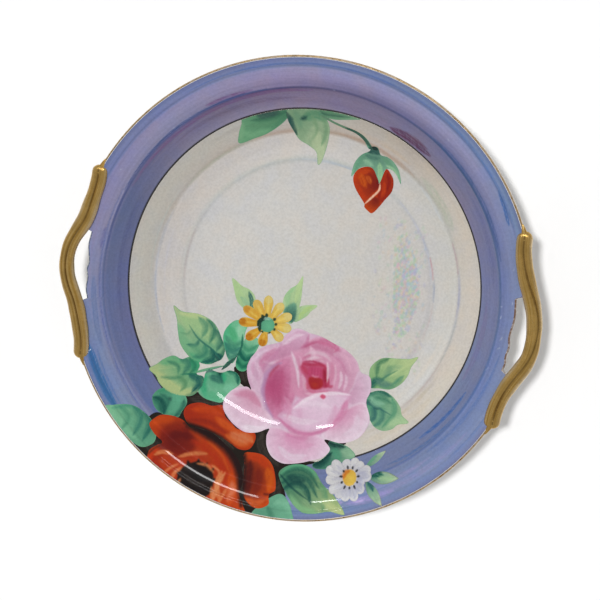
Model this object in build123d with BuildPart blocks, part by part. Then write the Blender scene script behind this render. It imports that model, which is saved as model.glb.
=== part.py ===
"""Two-handled china serving dish with lustre glaze, gilding and painted flowers (millimetres).

+Z is the dish's own axis, with the origin at the middle of the foot ring's resting plane.
+X runs to the right-hand handle and -Y to the side that carries the rose and the poppy.

The clay is three pieces: the body, jiggered in one with its foot ring, and two rope handles
luted onto it. Everything else is a thin coat that is fired onto the glaze: two lustres, a black
pinstripe, gold, and the painted enamels, which are laid side by side so that none overlap.
"""
from build123d import *
from math import cos, pi, radians, sin
import os

os.makedirs("parts", exist_ok=True)

# Driving dimensions
FLOOR_TOP = 8.0            # inner floor above the foot's resting plane
FLOOR_THICKNESS = 4.0
FOOT_INNER_R = 65.8
FOOT_OUTER_R = 69.8
FOOT_EDGE_FILLET = 0.9
LIP_START_R = 112.8        # where the painted border ends and the gilded lip begins
LIP_OUTER_R = 114.2
LIP_MIDDLE_Z = 35.8
PINSTRIPE_R = 88.0
PINSTRIPE_WIDTH = 0.7
COAT = 0.20                # lustre and pinstripe thickness, measured along Z
GILT = 0.20                # gold band thickness
ENAMEL = 0.25              # painted relief above the coats
CLEAR_HEIGHT = 60.0        # taller than the dish, for cuts and flat outlines made solid

# Section of the inner surface: radius, height and slope at each knot, joined by cubics
INNER = [
    (61.5, FLOOR_TOP, 0.0),        # edge of the flat floor
    (63.6, 8.45, 0.12),            # low moulded step
    (70.5, 10.0, 0.37),
    (76.2, 12.5, 0.45),
    (78.0, 13.6, 0.50),            # second moulded step
    (88.0, 19.8, 0.80),            # pinstripe
    (98.2, 29.8, 1.05),            # top of the inside wall
    (99.3, 30.5, 0.45),            # crease under the border
    (100.6, 31.4, 0.85),
    (104.5, 33.9, 0.45),
    (108.4, 35.3, 0.28),           # foot of the raised outer band
    (109.4, 36.1, 0.30),
    (LIP_START_R, 37.0, 0.10),
]
OUTER = [
    (71.0, 5.0, 0.42),             # top of the foot ring, outside
    (80.0, 10.4, 0.60),
    (88.0, 15.6, 0.80),
    (98.2, 24.9, 0.95),
    (104.5, 30.1, 0.62),
    (112.4, 34.2, 0.45),
]

# Rope handles: the centreline is a raised cosine, seen from above
ROPE_END_X = 103.8
ROPE_SWELL = 12.0
ROPE_HALF_LENGTH = 45.0
ROPE_STEPS = 6             # points on each half of the centreline
ROPE_Z = 35.9
STRAND_R = 2.1
STRAND_OFFSET = 1.4
SPUR_LENGTH = 6.5
SPUR_ROOT_R = 1.9
SPUR_TIP_R = 0.8
SPUR_LEAN = 20.0           # degrees inward from the handle's line, along the rim
HANDLES = {"handle_right": -0.5, "handle_left": 182.0}    # direction of each handle, degrees

# Each pierced gap's inner edge, in its handle's own frame: notch and crest points in turn
GAP_EDGES = {
    "handle_right": [(105.0, 15.5), (106.1, 6.0), (105.2, -3.0), (105.9, -8.0),
                     (105.1, -13.0), (105.4, -16.5), (104.6, -20.0)],
    "handle_left": [(104.4, 18.5), (105.6, 13.5), (105.4, 8.0), (106.2, 4.0),
                    (105.5, 0.0), (106.5, -8.0), (105.6, -15.0)],
}
GAP_ROPE_RUN = 2.5         # how much further the gap runs along the rope than along the dish

# The gold band runs round the lip from spur to spur, in degrees
GOLD_STANDS_OFF = 27.35    # from each handle's direction to the end of the gold
GILT_ARCS = {
    "gilt_edge_top": (HANDLES["handle_right"] + GOLD_STANDS_OFF,
                      HANDLES["handle_left"] - GOLD_STANDS_OFF),
    "gilt_edge_bottom": (HANDLES["handle_left"] + GOLD_STANDS_OFF,
                         HANDLES["handle_right"] + 360 - GOLD_STANDS_OFF),
}


def cubic_run(knots, lift=0.0):
    """Draw the section curve through the knots, raised by lift."""
    for (r0, z0, m0), (r1, z1, m1) in zip(knots, knots[1:]):
        third = (r1 - r0) / 3
        Bezier((r0, z0 + lift), (r0 + third, z0 + lift + third * m0),
               (r1 - third, z1 + lift - third * m1), (r1, z1 + lift))


def rope_x(y):
    """Distance of the rope's centreline from the dish's axis plane at y."""
    return ROPE_END_X + ROPE_SWELL / 2 * (1 + cos(pi * y / ROPE_HALF_LENGTH))


def rope_points(inset=0.0):
    """Points along the rope's centreline, or inside it, from -Y to +Y in the handle's frame."""
    along = [ROPE_HALF_LENGTH * k / ROPE_STEPS for k in range(-ROPE_STEPS, ROPE_STEPS + 1)]
    return [(rope_x(y) - inset, y) for y in along]


def handle_plane(turn, height=0.0):
    """A level plane whose X axis points along one handle."""
    return Plane.XY.rotated((0, 0, turn)).offset(height)


def closed_spline(points):
    """Fill one smooth closed outline in the current sketch."""
    with BuildLine() as outline:
        Spline(*points, periodic=True)
    make_face(outline.edges())


def leaf(base, tip, left, right):
    """Fill one pointed leaf from its base to its tip, bulging by left and right of the midrib."""
    chord = Vector(*tip) - Vector(*base)
    across = Vector(-chord.Y, chord.X).normalized()
    middle = Vector(*base) + chord * 0.47
    with BuildLine() as outline:
        ThreePointArc(base, middle + across * left, tip)
        ThreePointArc(tip, middle - across * right, base)
    make_face(outline.edges())


def daisy(centre, petals, reach, petal_width, eye):
    """Fill a ring of petals round an eye."""
    with Locations(centre):
        Circle(eye)
        with PolarLocations((reach + eye) / 2, petals):
            Ellipse((reach - eye) / 2 + 1.2, petal_width / 2)


# The clay outside the ropes' inner strands, and the pierced gaps, as flat outlines
with BuildSketch() as trimmed_away:
    for side, turn in HANDLES.items():
        edge = GAP_EDGES[side]
        rope_top = edge[0][1] + GAP_ROPE_RUN
        rope_bottom = edge[-1][1] - GAP_ROPE_RUN
        beyond = LIP_OUTER_R + 20
        strand = rope_points(inset=STRAND_OFFSET)
        with BuildSketch(handle_plane(turn), mode=Mode.PRIVATE) as cut:
            with BuildLine():
                Spline(*strand)
                Polyline(strand[-1], (beyond, ROPE_HALF_LENGTH),
                         (beyond, -ROPE_HALF_LENGTH), strand[0])
            make_face()
            with BuildLine():
                ThreePointArc(edge[0], edge[1], edge[2])
                ThreePointArc(edge[2], edge[3], edge[4])
                ThreePointArc(edge[4], edge[5], edge[6])
                Polyline(edge[6], (rope_x(rope_bottom), rope_bottom),
                         (rope_x(0) + 1, 0), (rope_x(rope_top), rope_top), edge[0])
            make_face()
        add(cut.sketch)

# Handles: a two-strand rope with rounded ends, and a spur that runs into the gold edge
handle_solids = {}
for side, turn in HANDLES.items():
    level = handle_plane(turn, ROPE_Z)
    with BuildPart() as handle:
        with BuildLine() as centreline:
            Spline(*[level.from_local_coords(Vector(x, y, 0)) for x, y in rope_points()],
                   tangents=[level.y_dir, level.y_dir])
        start = Plane(origin=centreline.line @ 0, x_dir=(0, 0, 1), z_dir=centreline.line % 0)
        with BuildSketch(start):
            with Locations((0, STRAND_OFFSET), (0, -STRAND_OFFSET)):
                Circle(STRAND_R)
        sweep(path=centreline.line)
        for end in (-1, 1):
            root = level.from_local_coords(Vector(ROPE_END_X, end * ROPE_HALF_LENGTH, 0))
            for side_step in (-STRAND_OFFSET, STRAND_OFFSET):
                with Locations(root + level.x_dir * side_step):
                    Sphere(STRAND_R)
            lean = radians(turn) + end * radians(90 + SPUR_LEAN)
            with Locations(Plane(origin=root, z_dir=(cos(lean), sin(lean), 0))):
                Cone(SPUR_ROOT_R, SPUR_TIP_R, SPUR_LENGTH, align=(Align.CENTER, Align.CENTER, Align.MIN))
    handle.part.label = side
    export_step(handle.part, f"parts/{side}.step")
    handle_solids[side] = handle.part

# Body: jiggered shell with its foot ring, trimmed for the handles
with BuildPart() as plate_body:
    with BuildSketch(Plane.XZ):
        with BuildLine():
            Line((0, FLOOR_TOP), INNER[0][:2])
            cubic_run(INNER)
            ThreePointArc(INNER[-1][:2], (LIP_OUTER_R, LIP_MIDDLE_Z), OUTER[-1][:2])
            cubic_run(OUTER)
            underside = FLOOR_TOP - FLOOR_THICKNESS
            Polyline(OUTER[0][:2], (FOOT_OUTER_R, 0), (FOOT_INNER_R, 0),
                     (FOOT_INNER_R - 0.6, underside), (0, underside), (0, FLOOR_TOP))
        make_face()
    revolve(axis=Axis.Z)
    foot_edges = plate_body.edges().filter_by(GeomType.CIRCLE).group_by(Axis.Z)[0]
    fillet(foot_edges, FOOT_EDGE_FILLET)
    extrude(trimmed_away.sketch, amount=CLEAR_HEIGHT, mode=Mode.SUBTRACT)
    add(list(handle_solids.values()), mode=Mode.SUBTRACT)
    add(plate_body.solids().sort_by(SortBy.VOLUME)[-1], mode=Mode.REPLACE)
plate_body.part.label = "plate_body"
export_step(plate_body.part, "parts/plate_body.step")

# Gold band round the lip, between the handles
for name, (first, last) in GILT_ARCS.items():
    with BuildPart() as gilt:
        with BuildSketch(Plane.XZ.rotated((0, 0, first))):
            with BuildLine():
                inner_end, outer_end = Vector(*INNER[-1][:2]), Vector(*OUTER[-1][:2])
                ThreePointArc(inner_end, (LIP_OUTER_R, LIP_MIDDLE_Z), outer_end)
                Line(outer_end, outer_end + Vector(0, -GILT))
                ThreePointArc(outer_end + Vector(0, -GILT), (LIP_OUTER_R + GILT, LIP_MIDDLE_Z),
                              inner_end + Vector(0, GILT))
                Line(inner_end + Vector(0, GILT), inner_end)
            make_face()
        revolve(axis=Axis.Z, revolution_arc=last - first)
    gilt.part.label = name
    export_step(gilt.part, f"parts/{name}.step")


# Fired-on coats: each is a slice of the lifted inner surface inside one flat outline
half_stripe = PINSTRIPE_WIDTH / 2

with BuildSketch() as well_zone:
    Circle(PINSTRIPE_R - half_stripe)

with BuildSketch() as pinstripe_zone:
    Circle(PINSTRIPE_R + half_stripe)
    Circle(PINSTRIPE_R - half_stripe, mode=Mode.SUBTRACT)

with BuildSketch() as border_zone:
    Circle(LIP_START_R)
    Circle(PINSTRIPE_R + half_stripe, mode=Mode.SUBTRACT)
    add(trimmed_away.sketch, mode=Mode.SUBTRACT)

coats = {
    "well_lustre": (well_zone.sketch, 0.0, COAT),
    "pinstripe": (pinstripe_zone.sketch, 0.0, COAT),
    "border_lustre": (border_zone.sketch, 0.0, COAT),
}

# Painted flowers, front to back
with BuildSketch() as yellow_daisy:
    daisy((-16.5, -23.5), petals=10, reach=13.0, petal_width=5.4, eye=4.2)

with BuildSketch() as white_daisy:
    daisy((37.8, -88.0), petals=12, reach=11.5, petal_width=4.6, eye=4.4)

with BuildSketch() as rose:
    closed_spline([(-1, -23), (12, -24.5), (25, -29.5), (33.5, -38.5), (39, -42), (40, -53),
                   (42, -62), (38, -71), (30, -74.5), (22, -75), (26, -80), (21, -85.5), (4, -88.7),
                   (-6, -84), (-7.5, -75), (-17, -77.5), (-26, -75), (-32, -67), (-28, -59),
                   (-20, -57.5), (-23, -47), (-17, -35), (-8, -29)])

with BuildSketch() as poppy:
    closed_spline([(-49, -71), (-42, -67.4), (-31, -69), (-21, -76), (-13, -79), (-14, -85.5),
                   (-30, -82.5), (-45, -77.5)])
    closed_spline([(-63, -80), (-58, -74.8), (-47, -77.5), (-30, -83), (-17, -92), (-12.5, -103),
                   (-14, -114), (-40, -118), (-66, -100), (-60, -92), (-55, -87)])
    closed_spline([(-15, -87.5), (-5, -87), (2.5, -94), (2.5, -104), (-4, -109.5), (-11, -104)])

with BuildSketch() as bud:
    closed_spline([(22, 45), (15, 53), (17, 61), (23, 63.4), (27.6, 57), (31, 63.5),
                   (35.3, 57), (31.5, 47), (26, 41.5)])

with BuildSketch() as bud_stem:
    closed_spline([(14.3, 56), (15, 66), (21, 71), (24, 73.8), (28, 70), (35, 66), (38.8, 58),
                   (33, 64.5), (29, 59), (24, 65), (17, 62)])
    with BuildLine():
        Spline((22.3, 72.5), (17, 77.7), (6, 81.3), (-3, 84.6))
        Spline((-3.4, 83.8), (5.6, 80.4), (16.4, 76.9), (21.3, 72.3))
        Line((-3, 84.6), (-3.4, 83.8))
        Line((21.3, 72.3), (22.3, 72.5))
    make_face()

with BuildSketch() as top_leaves:
    leaf((-19, 83), (-43, 65), 3.0, 8.0)
    leaf((-19, 82), (-3, 61), 7.5, 4.0)
    leaf((-22, 83), (18, 86.5), 5.0, 1.4)

with BuildSketch() as yellow_daisy_leaves:
    leaf((-24, -18), (-36.8, -4), 4.3, 4.3)
    leaf((-5, -20), (-2.5, 3), 5.0, 3.6)
    leaf((-3.5, -20), (6.5, -9.5), 3.2, 2.6)

with BuildSketch() as right_leaves:
    leaf((39.5, -46), (60.5, -26.5), 8.0, 8.0)
    leaf((36, -53.5), (62, -58.5), 8.0, 7.5)

with BuildSketch() as left_leaves:
    leaf((-38, -48), (-64.5, -21.5), 9.5, 10.5)
    leaf((-33, -48), (-29, -22), 6.0, 7.5)
    leaf((-27, -50), (-22, -30), 4.0, 4.5)
    leaf((-43, -58), (-70, -54), 9.0, 10.0)
    leaf((-30, -51), (-43, -66), 5.5, 7.5)
    leaf((-52, -77), (-64, -62), 6.0, 7.0)
    leaf((-60, -88), (-88, -73), 5.5, 8.5)

with BuildSketch() as lower_leaves:
    leaf((3, -92), (39, -104.5), 8.5, 9.5)
    leaf((18, -87), (39, -77), 5.0, 4.5)
    leaf((-6, -106), (16, -112), 7.0, 5.0)
    leaf((44, -82), (53, -73), 1.6, 1.6)
    leaf((47, -85), (62.3, -82.5), 2.5, 2.5)
    leaf((47, -88), (57, -96), 2.2, 2.2)

with BuildSketch() as dark_ground:
    closed_spline([(-50, -64), (-40, -64), (-30, -66), (-18, -74), (-6, -71), (0, -86), (20, -85),
                   (8, -92), (6, -104), (-2, -111), (-12, -114), (-30, -86), (-60, -88),
                   (-66, -84), (-58, -73), (-48, -74)])
    closed_spline([(-29, -47), (-24, -46), (-19, -58), (-27, -56)])
    closed_spline([(20, -73.8), (32, -74.2), (27, -80), (22, -78)])

with BuildSketch() as dish_inside:
    Circle(LIP_START_R - 0.2)

with BuildSketch() as inside_pinstripe:
    Circle(PINSTRIPE_R - half_stripe)

painted = {
    "yellow_daisy": (yellow_daisy, dish_inside),
    "white_daisy": (white_daisy, dish_inside),
    "rose": (rose, dish_inside),
    "poppy": (poppy, dish_inside),
    "bud": (bud, inside_pinstripe),
    "bud_stem": (bud_stem, inside_pinstripe),
    "top_leaves": (top_leaves, inside_pinstripe),
    "yellow_daisy_leaves": (yellow_daisy_leaves, dish_inside),
    "right_leaves": (right_leaves, dish_inside),
    "left_leaves": (left_leaves, dish_inside),
    "lower_leaves": (lower_leaves, dish_inside),
    "dark_ground": (dark_ground, dish_inside),
}
in_front = None
for name, (outline, limit) in painted.items():
    with BuildSketch() as zone:
        add(outline.sketch)
        add(limit.sketch, mode=Mode.INTERSECT)
        if in_front is not None:
            add(in_front, mode=Mode.SUBTRACT)
    coats[name] = (zone.sketch, COAT, COAT + ENAMEL)
    with BuildSketch() as grown:
        add(outline.sketch)
        if in_front is not None:
            add(in_front)
    in_front = grown.sketch

for name, (zone, low, high) in coats.items():
    with BuildPart() as coat:
        with BuildSketch(Plane.XZ):
            with BuildLine():
                for lift in (low, high):
                    Line((0, FLOOR_TOP + lift), (INNER[0][0], FLOOR_TOP + lift))
                    cubic_run(INNER, lift)
                Line((0, FLOOR_TOP + low), (0, FLOOR_TOP + high))
                Line((LIP_START_R, INNER[-1][1] + low), (LIP_START_R, INNER[-1][1] + high))
            make_face()
        revolve(axis=Axis.Z)
        extrude(zone, amount=CLEAR_HEIGHT, mode=Mode.INTERSECT)
        if name == "border_lustre":
            add(list(handle_solids.values()), mode=Mode.SUBTRACT)
    coat.part.label = name
    export_step(coat.part, f"parts/{name}.step")
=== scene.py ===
"""Looks for the two-handled china serving dish: lustre glazes, gilding and painted flowers.

Lengths below are in millimetres in the dish's own frame and turn into metres where a mesh is made.
The section of the dish is the same as in the CAD source, so every coat lies on the CAD surface.
"""
import math

import bmesh
import bpy
import numpy as np
from mathutils import Matrix, Vector
from mathutils.geometry import delaunay_2d_cdt


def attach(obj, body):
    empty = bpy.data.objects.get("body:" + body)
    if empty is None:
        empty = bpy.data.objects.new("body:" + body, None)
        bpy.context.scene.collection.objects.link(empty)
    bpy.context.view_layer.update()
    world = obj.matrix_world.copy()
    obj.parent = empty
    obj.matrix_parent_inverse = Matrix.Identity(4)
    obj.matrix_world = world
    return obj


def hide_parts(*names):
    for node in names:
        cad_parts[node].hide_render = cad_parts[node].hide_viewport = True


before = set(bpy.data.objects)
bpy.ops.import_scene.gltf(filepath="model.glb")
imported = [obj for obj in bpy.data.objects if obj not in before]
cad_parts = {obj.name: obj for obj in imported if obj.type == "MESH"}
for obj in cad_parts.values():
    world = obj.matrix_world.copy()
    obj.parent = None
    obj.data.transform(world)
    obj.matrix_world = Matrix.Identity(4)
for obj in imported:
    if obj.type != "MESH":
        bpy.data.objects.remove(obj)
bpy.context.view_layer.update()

MM = 0.001

# ---------------------------------------------------------------- the dish's section and outline
FLOOR_TOP = 8.0
FLOOR_UNDER = 4.0
INNER = [(0.0, FLOOR_TOP, 0.0), (61.5, FLOOR_TOP, 0.0), (63.6, 8.45, 0.12), (70.5, 10.0, 0.37),
         (76.2, 12.5, 0.45), (78.0, 13.6, 0.50), (88.0, 19.8, 0.80), (98.2, 29.8, 1.05),
         (99.3, 30.5, 0.45), (100.6, 31.4, 0.85), (104.5, 33.9, 0.45), (108.4, 35.3, 0.28),
         (109.4, 36.1, 0.30), (112.8, 37.0, 0.10), (116.0, 37.2, 0.05)]
OUTER = [(71.0, 5.0, 0.42), (80.0, 10.4, 0.60), (88.0, 15.6, 0.80), (98.2, 24.9, 0.95),
         (104.5, 30.1, 0.62), (112.4, 34.2, 0.45), (116.0, 35.8, 0.40)]
FOOT = [(70.9, 4.3), (70.3, 2.6), (69.85, 1.1), (69.6, 0.45), (69.1, 0.1), (68.5, 0.0),
        (67.1, 0.0), (66.5, 0.1), (66.0, 0.45), (65.75, 1.1), (65.45, 2.6), (65.0, 3.5),
        (64.2, 3.9), (63.0, FLOOR_UNDER)]
LIP_R = 112.8              # where the lip starts to roll over, its outermost line, and where it ends below
LIP_OUT = 114.2
LIP_LOW_R = 112.4
CUT_NOSE = 0.9             # how far the rounded edge stands out where the clay is cut back
CUT_INSIDE = 1.4           # how far inside a rope's centreline the clay is cut beside its gap
GAP_EASE = 2.5             # run over which the cut passes into the gap's own edge
PINSTRIPE_R = 88.0
PINSTRIPE_HALF = 0.36
# the rope's centreline: x at its ends, how far it swells out, half its length, and its height
ROPE_END_X, ROPE_SWELL, ROPE_HALF, ROPE_Z = 103.8, 12.0, 45.0, 35.9
ROPE_CAP = 3.4             # length of the rounded end past each end of the rope
ROPE_WIDE, ROPE_HIGH = 3.72, 2.05       # half of a rope's width and of its height
GROOVE_DEEP = 0.85
SPUR_LONG = 8.2
ROPE_RING, SPUR_RING = 72, 30
SPUR_LEAN = math.radians(112)
# where along a rope it leaves the even curve, over how much of its length, and by how much
HAND_BENDS = {"rope_right": [(-13, 10, 1.5), (24, 8, -0.3)],
              "rope_left": [(-20, 9, -1.8), (20, 9, -1.2)]}
GROOVE_WIDTH, GROOVE_SHIFT = 0.5, 0.15
GROOVE_WANDER = {"rope_right": 1.7, "rope_left": 0.2}
HANDLES = {"handle_right": -0.5, "handle_left": 182.0}
GAP_EDGES = {
    "handle_right": [(105.0, 15.5), (106.1, 6.0), (105.2, -3.0), (105.9, -8.0),
                     (105.1, -13.0), (105.4, -16.5), (104.6, -20.0)],
    "handle_left": [(104.4, 18.5), (105.6, 13.5), (105.4, 8.0), (106.2, 4.0),
                    (105.5, 0.0), (106.5, -8.0), (105.6, -15.0)],
}
COAT_LIFT = 0.20           # top of a lustre coat over the clay
COAT_SKIN = 0.02           # how far a coat's underside lies below its edge
WELL_TAPER = 2.4           # width over which the well's coat comes down to its edge
ENAMEL_BITE = 0.05         # how far an enamel reaches down into the coat under it
LUSTRE_LAP = 0.05          # how far both lustres run in under the black line
GOLD_STARTS = 24.35        # degrees from the middle of a handle to the end of the gold line
FOOT_BARE = 0.00035        # metres, as the materials below use: top of the bare ring under the foot
CUT_RIM = (0.1035, 0.1118)
TURN = 2 * math.pi
LIGHT_LEVEL = 0.97         # how bright a white surface looks in this studio
ENAMEL_SHEEN = 0.012       # light that each gloss adds to the colour under it
GLAZE_SHEEN = 0.026


def hermite(knots, r):
    """Height of a section curve at radius r."""
    k = np.array(knots)
    i = np.clip(np.searchsorted(k[:, 0], r, side="right") - 1, 0, len(k) - 2)
    r0, z0, m0 = np.moveaxis(k[i], -1, 0)
    r1, z1, m1 = np.moveaxis(k[i + 1], -1, 0)
    h = r1 - r0
    t = np.clip((r - r0) / h, 0, 1)
    return ((2 * t**3 - 3 * t**2 + 1) * z0 + (t**3 - 2 * t**2 + t) * h * m0
            + (3 * t**2 - 2 * t**3) * z1 + (t**3 - t**2) * h * m1)


def rope_x(y):
    """The rope centreline's distance out from the dish's axis plane."""
    return ROPE_END_X + ROPE_SWELL / 2 * (1 + np.cos(np.pi * y / ROPE_HALF))


def smooth_curve(points, closed=False, per_span=10):
    """Catmull-Rom curve through a few points."""
    p = np.array(points, float)
    if closed:
        p = np.vstack([p[-1], p, p[0], p[1]])
    else:
        p = np.vstack([2 * p[0] - p[1], p, 2 * p[-1] - p[-2]])
    t = np.arange(per_span)[:, None] / per_span
    spans = []
    for a, b, c, d in zip(p, p[1:], p[2:], p[3:]):
        spans.append(0.5 * (2 * b + (c - a) * t + (2 * a - 5 * b + 4 * c - d) * t**2
                            + (3 * b - 3 * c + d - a) * t**3))
    out = np.vstack(spans)
    return out if closed else np.vstack([out, p[-2]])


def edge_radius(theta):
    """Outer radius of the clay at each angle: the lip, the cut behind each rope and each gap."""
    radius = np.full_like(theta, LIP_OUT)
    for side, turn in HANDLES.items():
        gap = smooth_curve(GAP_EDGES[side][::-1], per_span=6)
        low = np.linspace(-ROPE_HALF, gap[0, 1] - GAP_EASE, 24)
        high = np.linspace(gap[-1, 1] + GAP_EASE, ROPE_HALF, 24)
        line = np.vstack([np.column_stack([rope_x(low) - CUT_INSIDE, low]), gap,
                          np.column_stack([rope_x(high) - CUT_INSIDE, high])])
        angle = np.arctan2(line[:, 1], line[:, 0])
        local = (theta - math.radians(turn) + math.pi) % TURN - math.pi
        inside = (local > angle[0]) & (local < angle[-1])
        radius[inside] = np.interp(local[inside], angle, np.hypot(line[:, 0], line[:, 1]))
    return radius


def turned(points, degrees):
    """Points turned round the dish's axis."""
    a = math.radians(degrees)
    out = np.array(points, float)
    out[:, 0] = points[:, 0] * math.cos(a) - points[:, 1] * math.sin(a)
    out[:, 1] = points[:, 0] * math.sin(a) + points[:, 1] * math.cos(a)
    return out


# ---------------------------------------------------------------- meshes
def new_object(name, verts_mm, faces):
    """A smooth-shaded mesh object from millimetre coordinates."""
    mesh = bpy.data.meshes.new(name)
    mesh.from_pydata((np.asarray(verts_mm) * MM).tolist(), [], faces)
    mesh.update()
    mesh.polygons.foreach_set("use_smooth", [True] * len(mesh.polygons))
    obj = bpy.data.objects.new(name, mesh)
    bpy.context.scene.collection.objects.link(obj)
    return obj


def grid_faces(n_rows, n_cols, wrap_rows=False, wrap_cols=False):
    """Quads of a grid whose vertices are numbered row by row."""
    rows = n_rows if wrap_rows else n_rows - 1
    cols = n_cols if wrap_cols else n_cols - 1
    i, j = np.meshgrid(np.arange(rows), np.arange(cols), indexing="ij")
    i, j = i.ravel(), j.ravel()
    i2, j2 = (i + 1) % n_rows, (j + 1) % n_cols
    quads = np.column_stack([i * n_cols + j, i2 * n_cols + j, i2 * n_cols + j2, i * n_cols + j2])
    return quads.tolist()


def fix_normals(obj):
    """Turn every face outward."""
    bm = bmesh.new()
    bm.from_mesh(obj.data)
    bmesh.ops.recalc_face_normals(bm, faces=bm.faces)
    bm.to_mesh(obj.data)
    bm.free()


def set_paint(obj, colours):
    """Store one linear colour for each vertex, for the material to read."""
    layer = obj.data.color_attributes.new("paint", "FLOAT_COLOR", "POINT")
    rgba = np.ones((len(obj.data.vertices), 4), np.float32)
    rgba[:, :3] = colours
    layer.data.foreach_set("color", rgba.ravel())


def linear(srgb, sheen):
    """Seen colours from 0 to 255 as linear base colours under the studio light.

    The sheen is the light that a gloss adds by reflecting the pale room.
    """
    c = np.clip(np.asarray(srgb, float) / 255, 0, 1)
    seen = np.where(c <= 0.04045, c / 12.92, ((c + 0.055) / 1.055) ** 2.4)
    return np.maximum((seen - sheen) / LIGHT_LEVEL, 0.0015)


def lip_curve(t, r_top, r_low, nose):
    """Radius and height at t, from 0 to 1, round the rolled edge from its top to its underside."""
    z_top, z_low = hermite(INNER, r_top), hermite(OUTER, r_low)
    r = r_top + (r_low - r_top) * t + nose * np.sin(math.pi * t) ** 0.75
    return r, (z_top + z_low) / 2 + (z_top - z_low) / 2 * np.cos(math.pi * t)


def spin(r, z, theta):
    """Vertices of rings with radii r and heights z at the angles theta, ring by ring."""
    x, y, z = np.broadcast_arrays(r * np.cos(theta), r * np.sin(theta), z)
    return np.stack([x, y, z], -1).reshape(-1, 3)


def lathe_body(name, segments=900):
    """The clay: one closed turned shell, cut back behind the handles, with its foot ring."""
    theta = np.arange(segments) * TURN / segments
    edge = edge_radius(theta)
    uncut = edge > LIP_OUT - 0.01
    nose = np.where(uncut, LIP_OUT - LIP_R, CUT_NOSE)
    r_top = edge - nose
    r_low = np.where(uncut, LIP_LOW_R, r_top)
    fixed = np.concatenate([np.linspace(0, 60, 8)[1:], np.arange(61, 98.5, 1.0)])
    border = [fixed[-1] + (r_top - fixed[-1]) * t for t in np.linspace(0, 1, 16)[1:]]
    section = [(r, hermite(INNER, r)) for r in [*fixed, *border]]
    section += [lip_curve(t, r_top, r_low, nose) for t in np.linspace(0, 1, 11)[1:-1]]
    under = [r_low + (98.0 - r_low) * t for t in np.linspace(0, 1, 14)[:-1]]
    section += [(r, hermite(OUTER, r)) for r in [*under, *np.arange(98.0, 71.2, -1.2)]]
    section += FOOT + [(r, FLOOR_UNDER) for r in (50.0, 35.0, 20.0, 8.0)]
    r, z = (np.array([np.broadcast_to(row[k], segments) for row in section]) for k in (0, 1))
    faces = grid_faces(len(section), segments, wrap_cols=True)
    top, low = len(section) * segments, len(section) * segments + 1
    verts = np.vstack([spin(r, z, theta), [[0, 0, FLOOR_TOP], [0, 0, FLOOR_UNDER]]])
    last = (len(section) - 1) * segments
    for j in range(segments):
        k = (j + 1) % segments
        faces.append([top, j, k])
        faces.append([low, last + k, last + j])
    return new_object(name, verts, faces)


def lathe_coat(name, r_in, r_out, n_radial, segments, low=0.03, high=COAT_LIFT, taper=0.5):
    """A closed coat on the inner surface between two radii, thinned away at its edges."""
    theta = np.arange(segments) * TURN / segments
    r_out = np.broadcast_to(r_out, theta.shape)
    r = r_in + (r_out - r_in) * np.linspace(0, 1, n_radial)[:, None]
    if r_in == 0:
        near = np.clip((r_out - r) / WELL_TAPER, 0, 1)
        rise = low + (high - low) * near * near * (3 - 2 * near)
    else:
        near = np.clip(np.minimum(r - r_in, r_out - r) / taper, 0, 1)
        rise = low + (high - low) * np.sqrt(1 - (1 - near) ** 2)
    base = hermite(INNER, r)
    n = n_radial * segments
    faces = grid_faces(n_radial, segments, wrap_cols=True)
    faces += [[a + n, d + n, c + n, b + n] for a, b, c, d in faces]
    e = n - segments
    for j in range(segments):
        k = (j + 1) % segments
        faces.append([j, k, k + n, j + n])
        faces.append([e + j, e + j + n, e + k + n, e + k])
    verts = [spin(r, base + rise, theta), spin(r, base + low - COAT_SKIN, theta)]
    return new_object(name, np.vstack(verts), faces)


def lathe_band(name, first, last, thickness=0.18, segments=640):
    """The gold line: a thin closed band wrapped round the lip between two angles in degrees."""
    theta = np.radians(np.linspace(first, last, segments))
    t = np.linspace(0, 1, 17)
    r_top = LIP_R + 0.15
    base, z = lip_curve(t, r_top, LIP_LOW_R, LIP_OUT - r_top)
    size = np.hypot(np.gradient(z), np.gradient(base))
    out_r, out_z = np.gradient(z) / size, -np.gradient(base) / size
    grow = thickness * np.sin(math.pi * np.clip(t, 0.04, 0.96)) ** 0.4
    loop_r = np.concatenate([base + out_r * grow, (base - out_r * COAT_SKIN)[::-1]])
    loop_z = np.concatenate([z + out_z * grow, (z - out_z * COAT_SKIN)[::-1]])
    faces = grid_faces(len(loop_r), segments, wrap_rows=True)
    faces.append([i * segments for i in range(len(loop_r))])
    faces.append([i * segments + segments - 1 for i in range(len(loop_r))][::-1])
    obj = new_object(name, spin(loop_r[:, None], loop_z[:, None], theta), faces)
    fix_normals(obj)
    return obj


def tube(path, across, up, width, height, groove, shift, ring):
    """Vertices of a closed grooved bar, ring by ring, and how far each is to the side of its line."""
    phi = np.arange(ring) * TURN / ring
    c, s = np.cos(phi), np.sin(phi)
    squarish = (np.abs(c) ** 2.5 + np.abs(s) ** 2.5) ** (-1 / 2.5)
    verts, sides = [], []
    for p, a, u, w, h, g, middle in zip(path, across, up, width, height, groove, shift):
        side = c * squarish * w
        lift = s * squarish * h
        lift = lift - np.where(s > 0, g * np.exp(-((side - middle) / GROOVE_WIDTH) ** 2), 0)
        verts.append(p + np.outer(side, a) + np.outer(lift, u))
        sides.append(side)
    return np.vstack(verts), np.concatenate(sides)


def tube_faces(rows, ring, start):
    """Side quads and both end caps of a tube whose vertices are numbered from start."""
    faces = grid_faces(rows, ring, wrap_cols=True)
    faces.append(list(range(ring))[::-1])
    faces.append([(rows - 1) * ring + k for k in range(ring)])
    return [[start + k for k in face] for face in faces]


def near_to(value, middle, spread):
    """A smooth bump of height 1 at the middle, dying away over the spread."""
    return np.exp(-((value - middle) / spread) ** 2)


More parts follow.
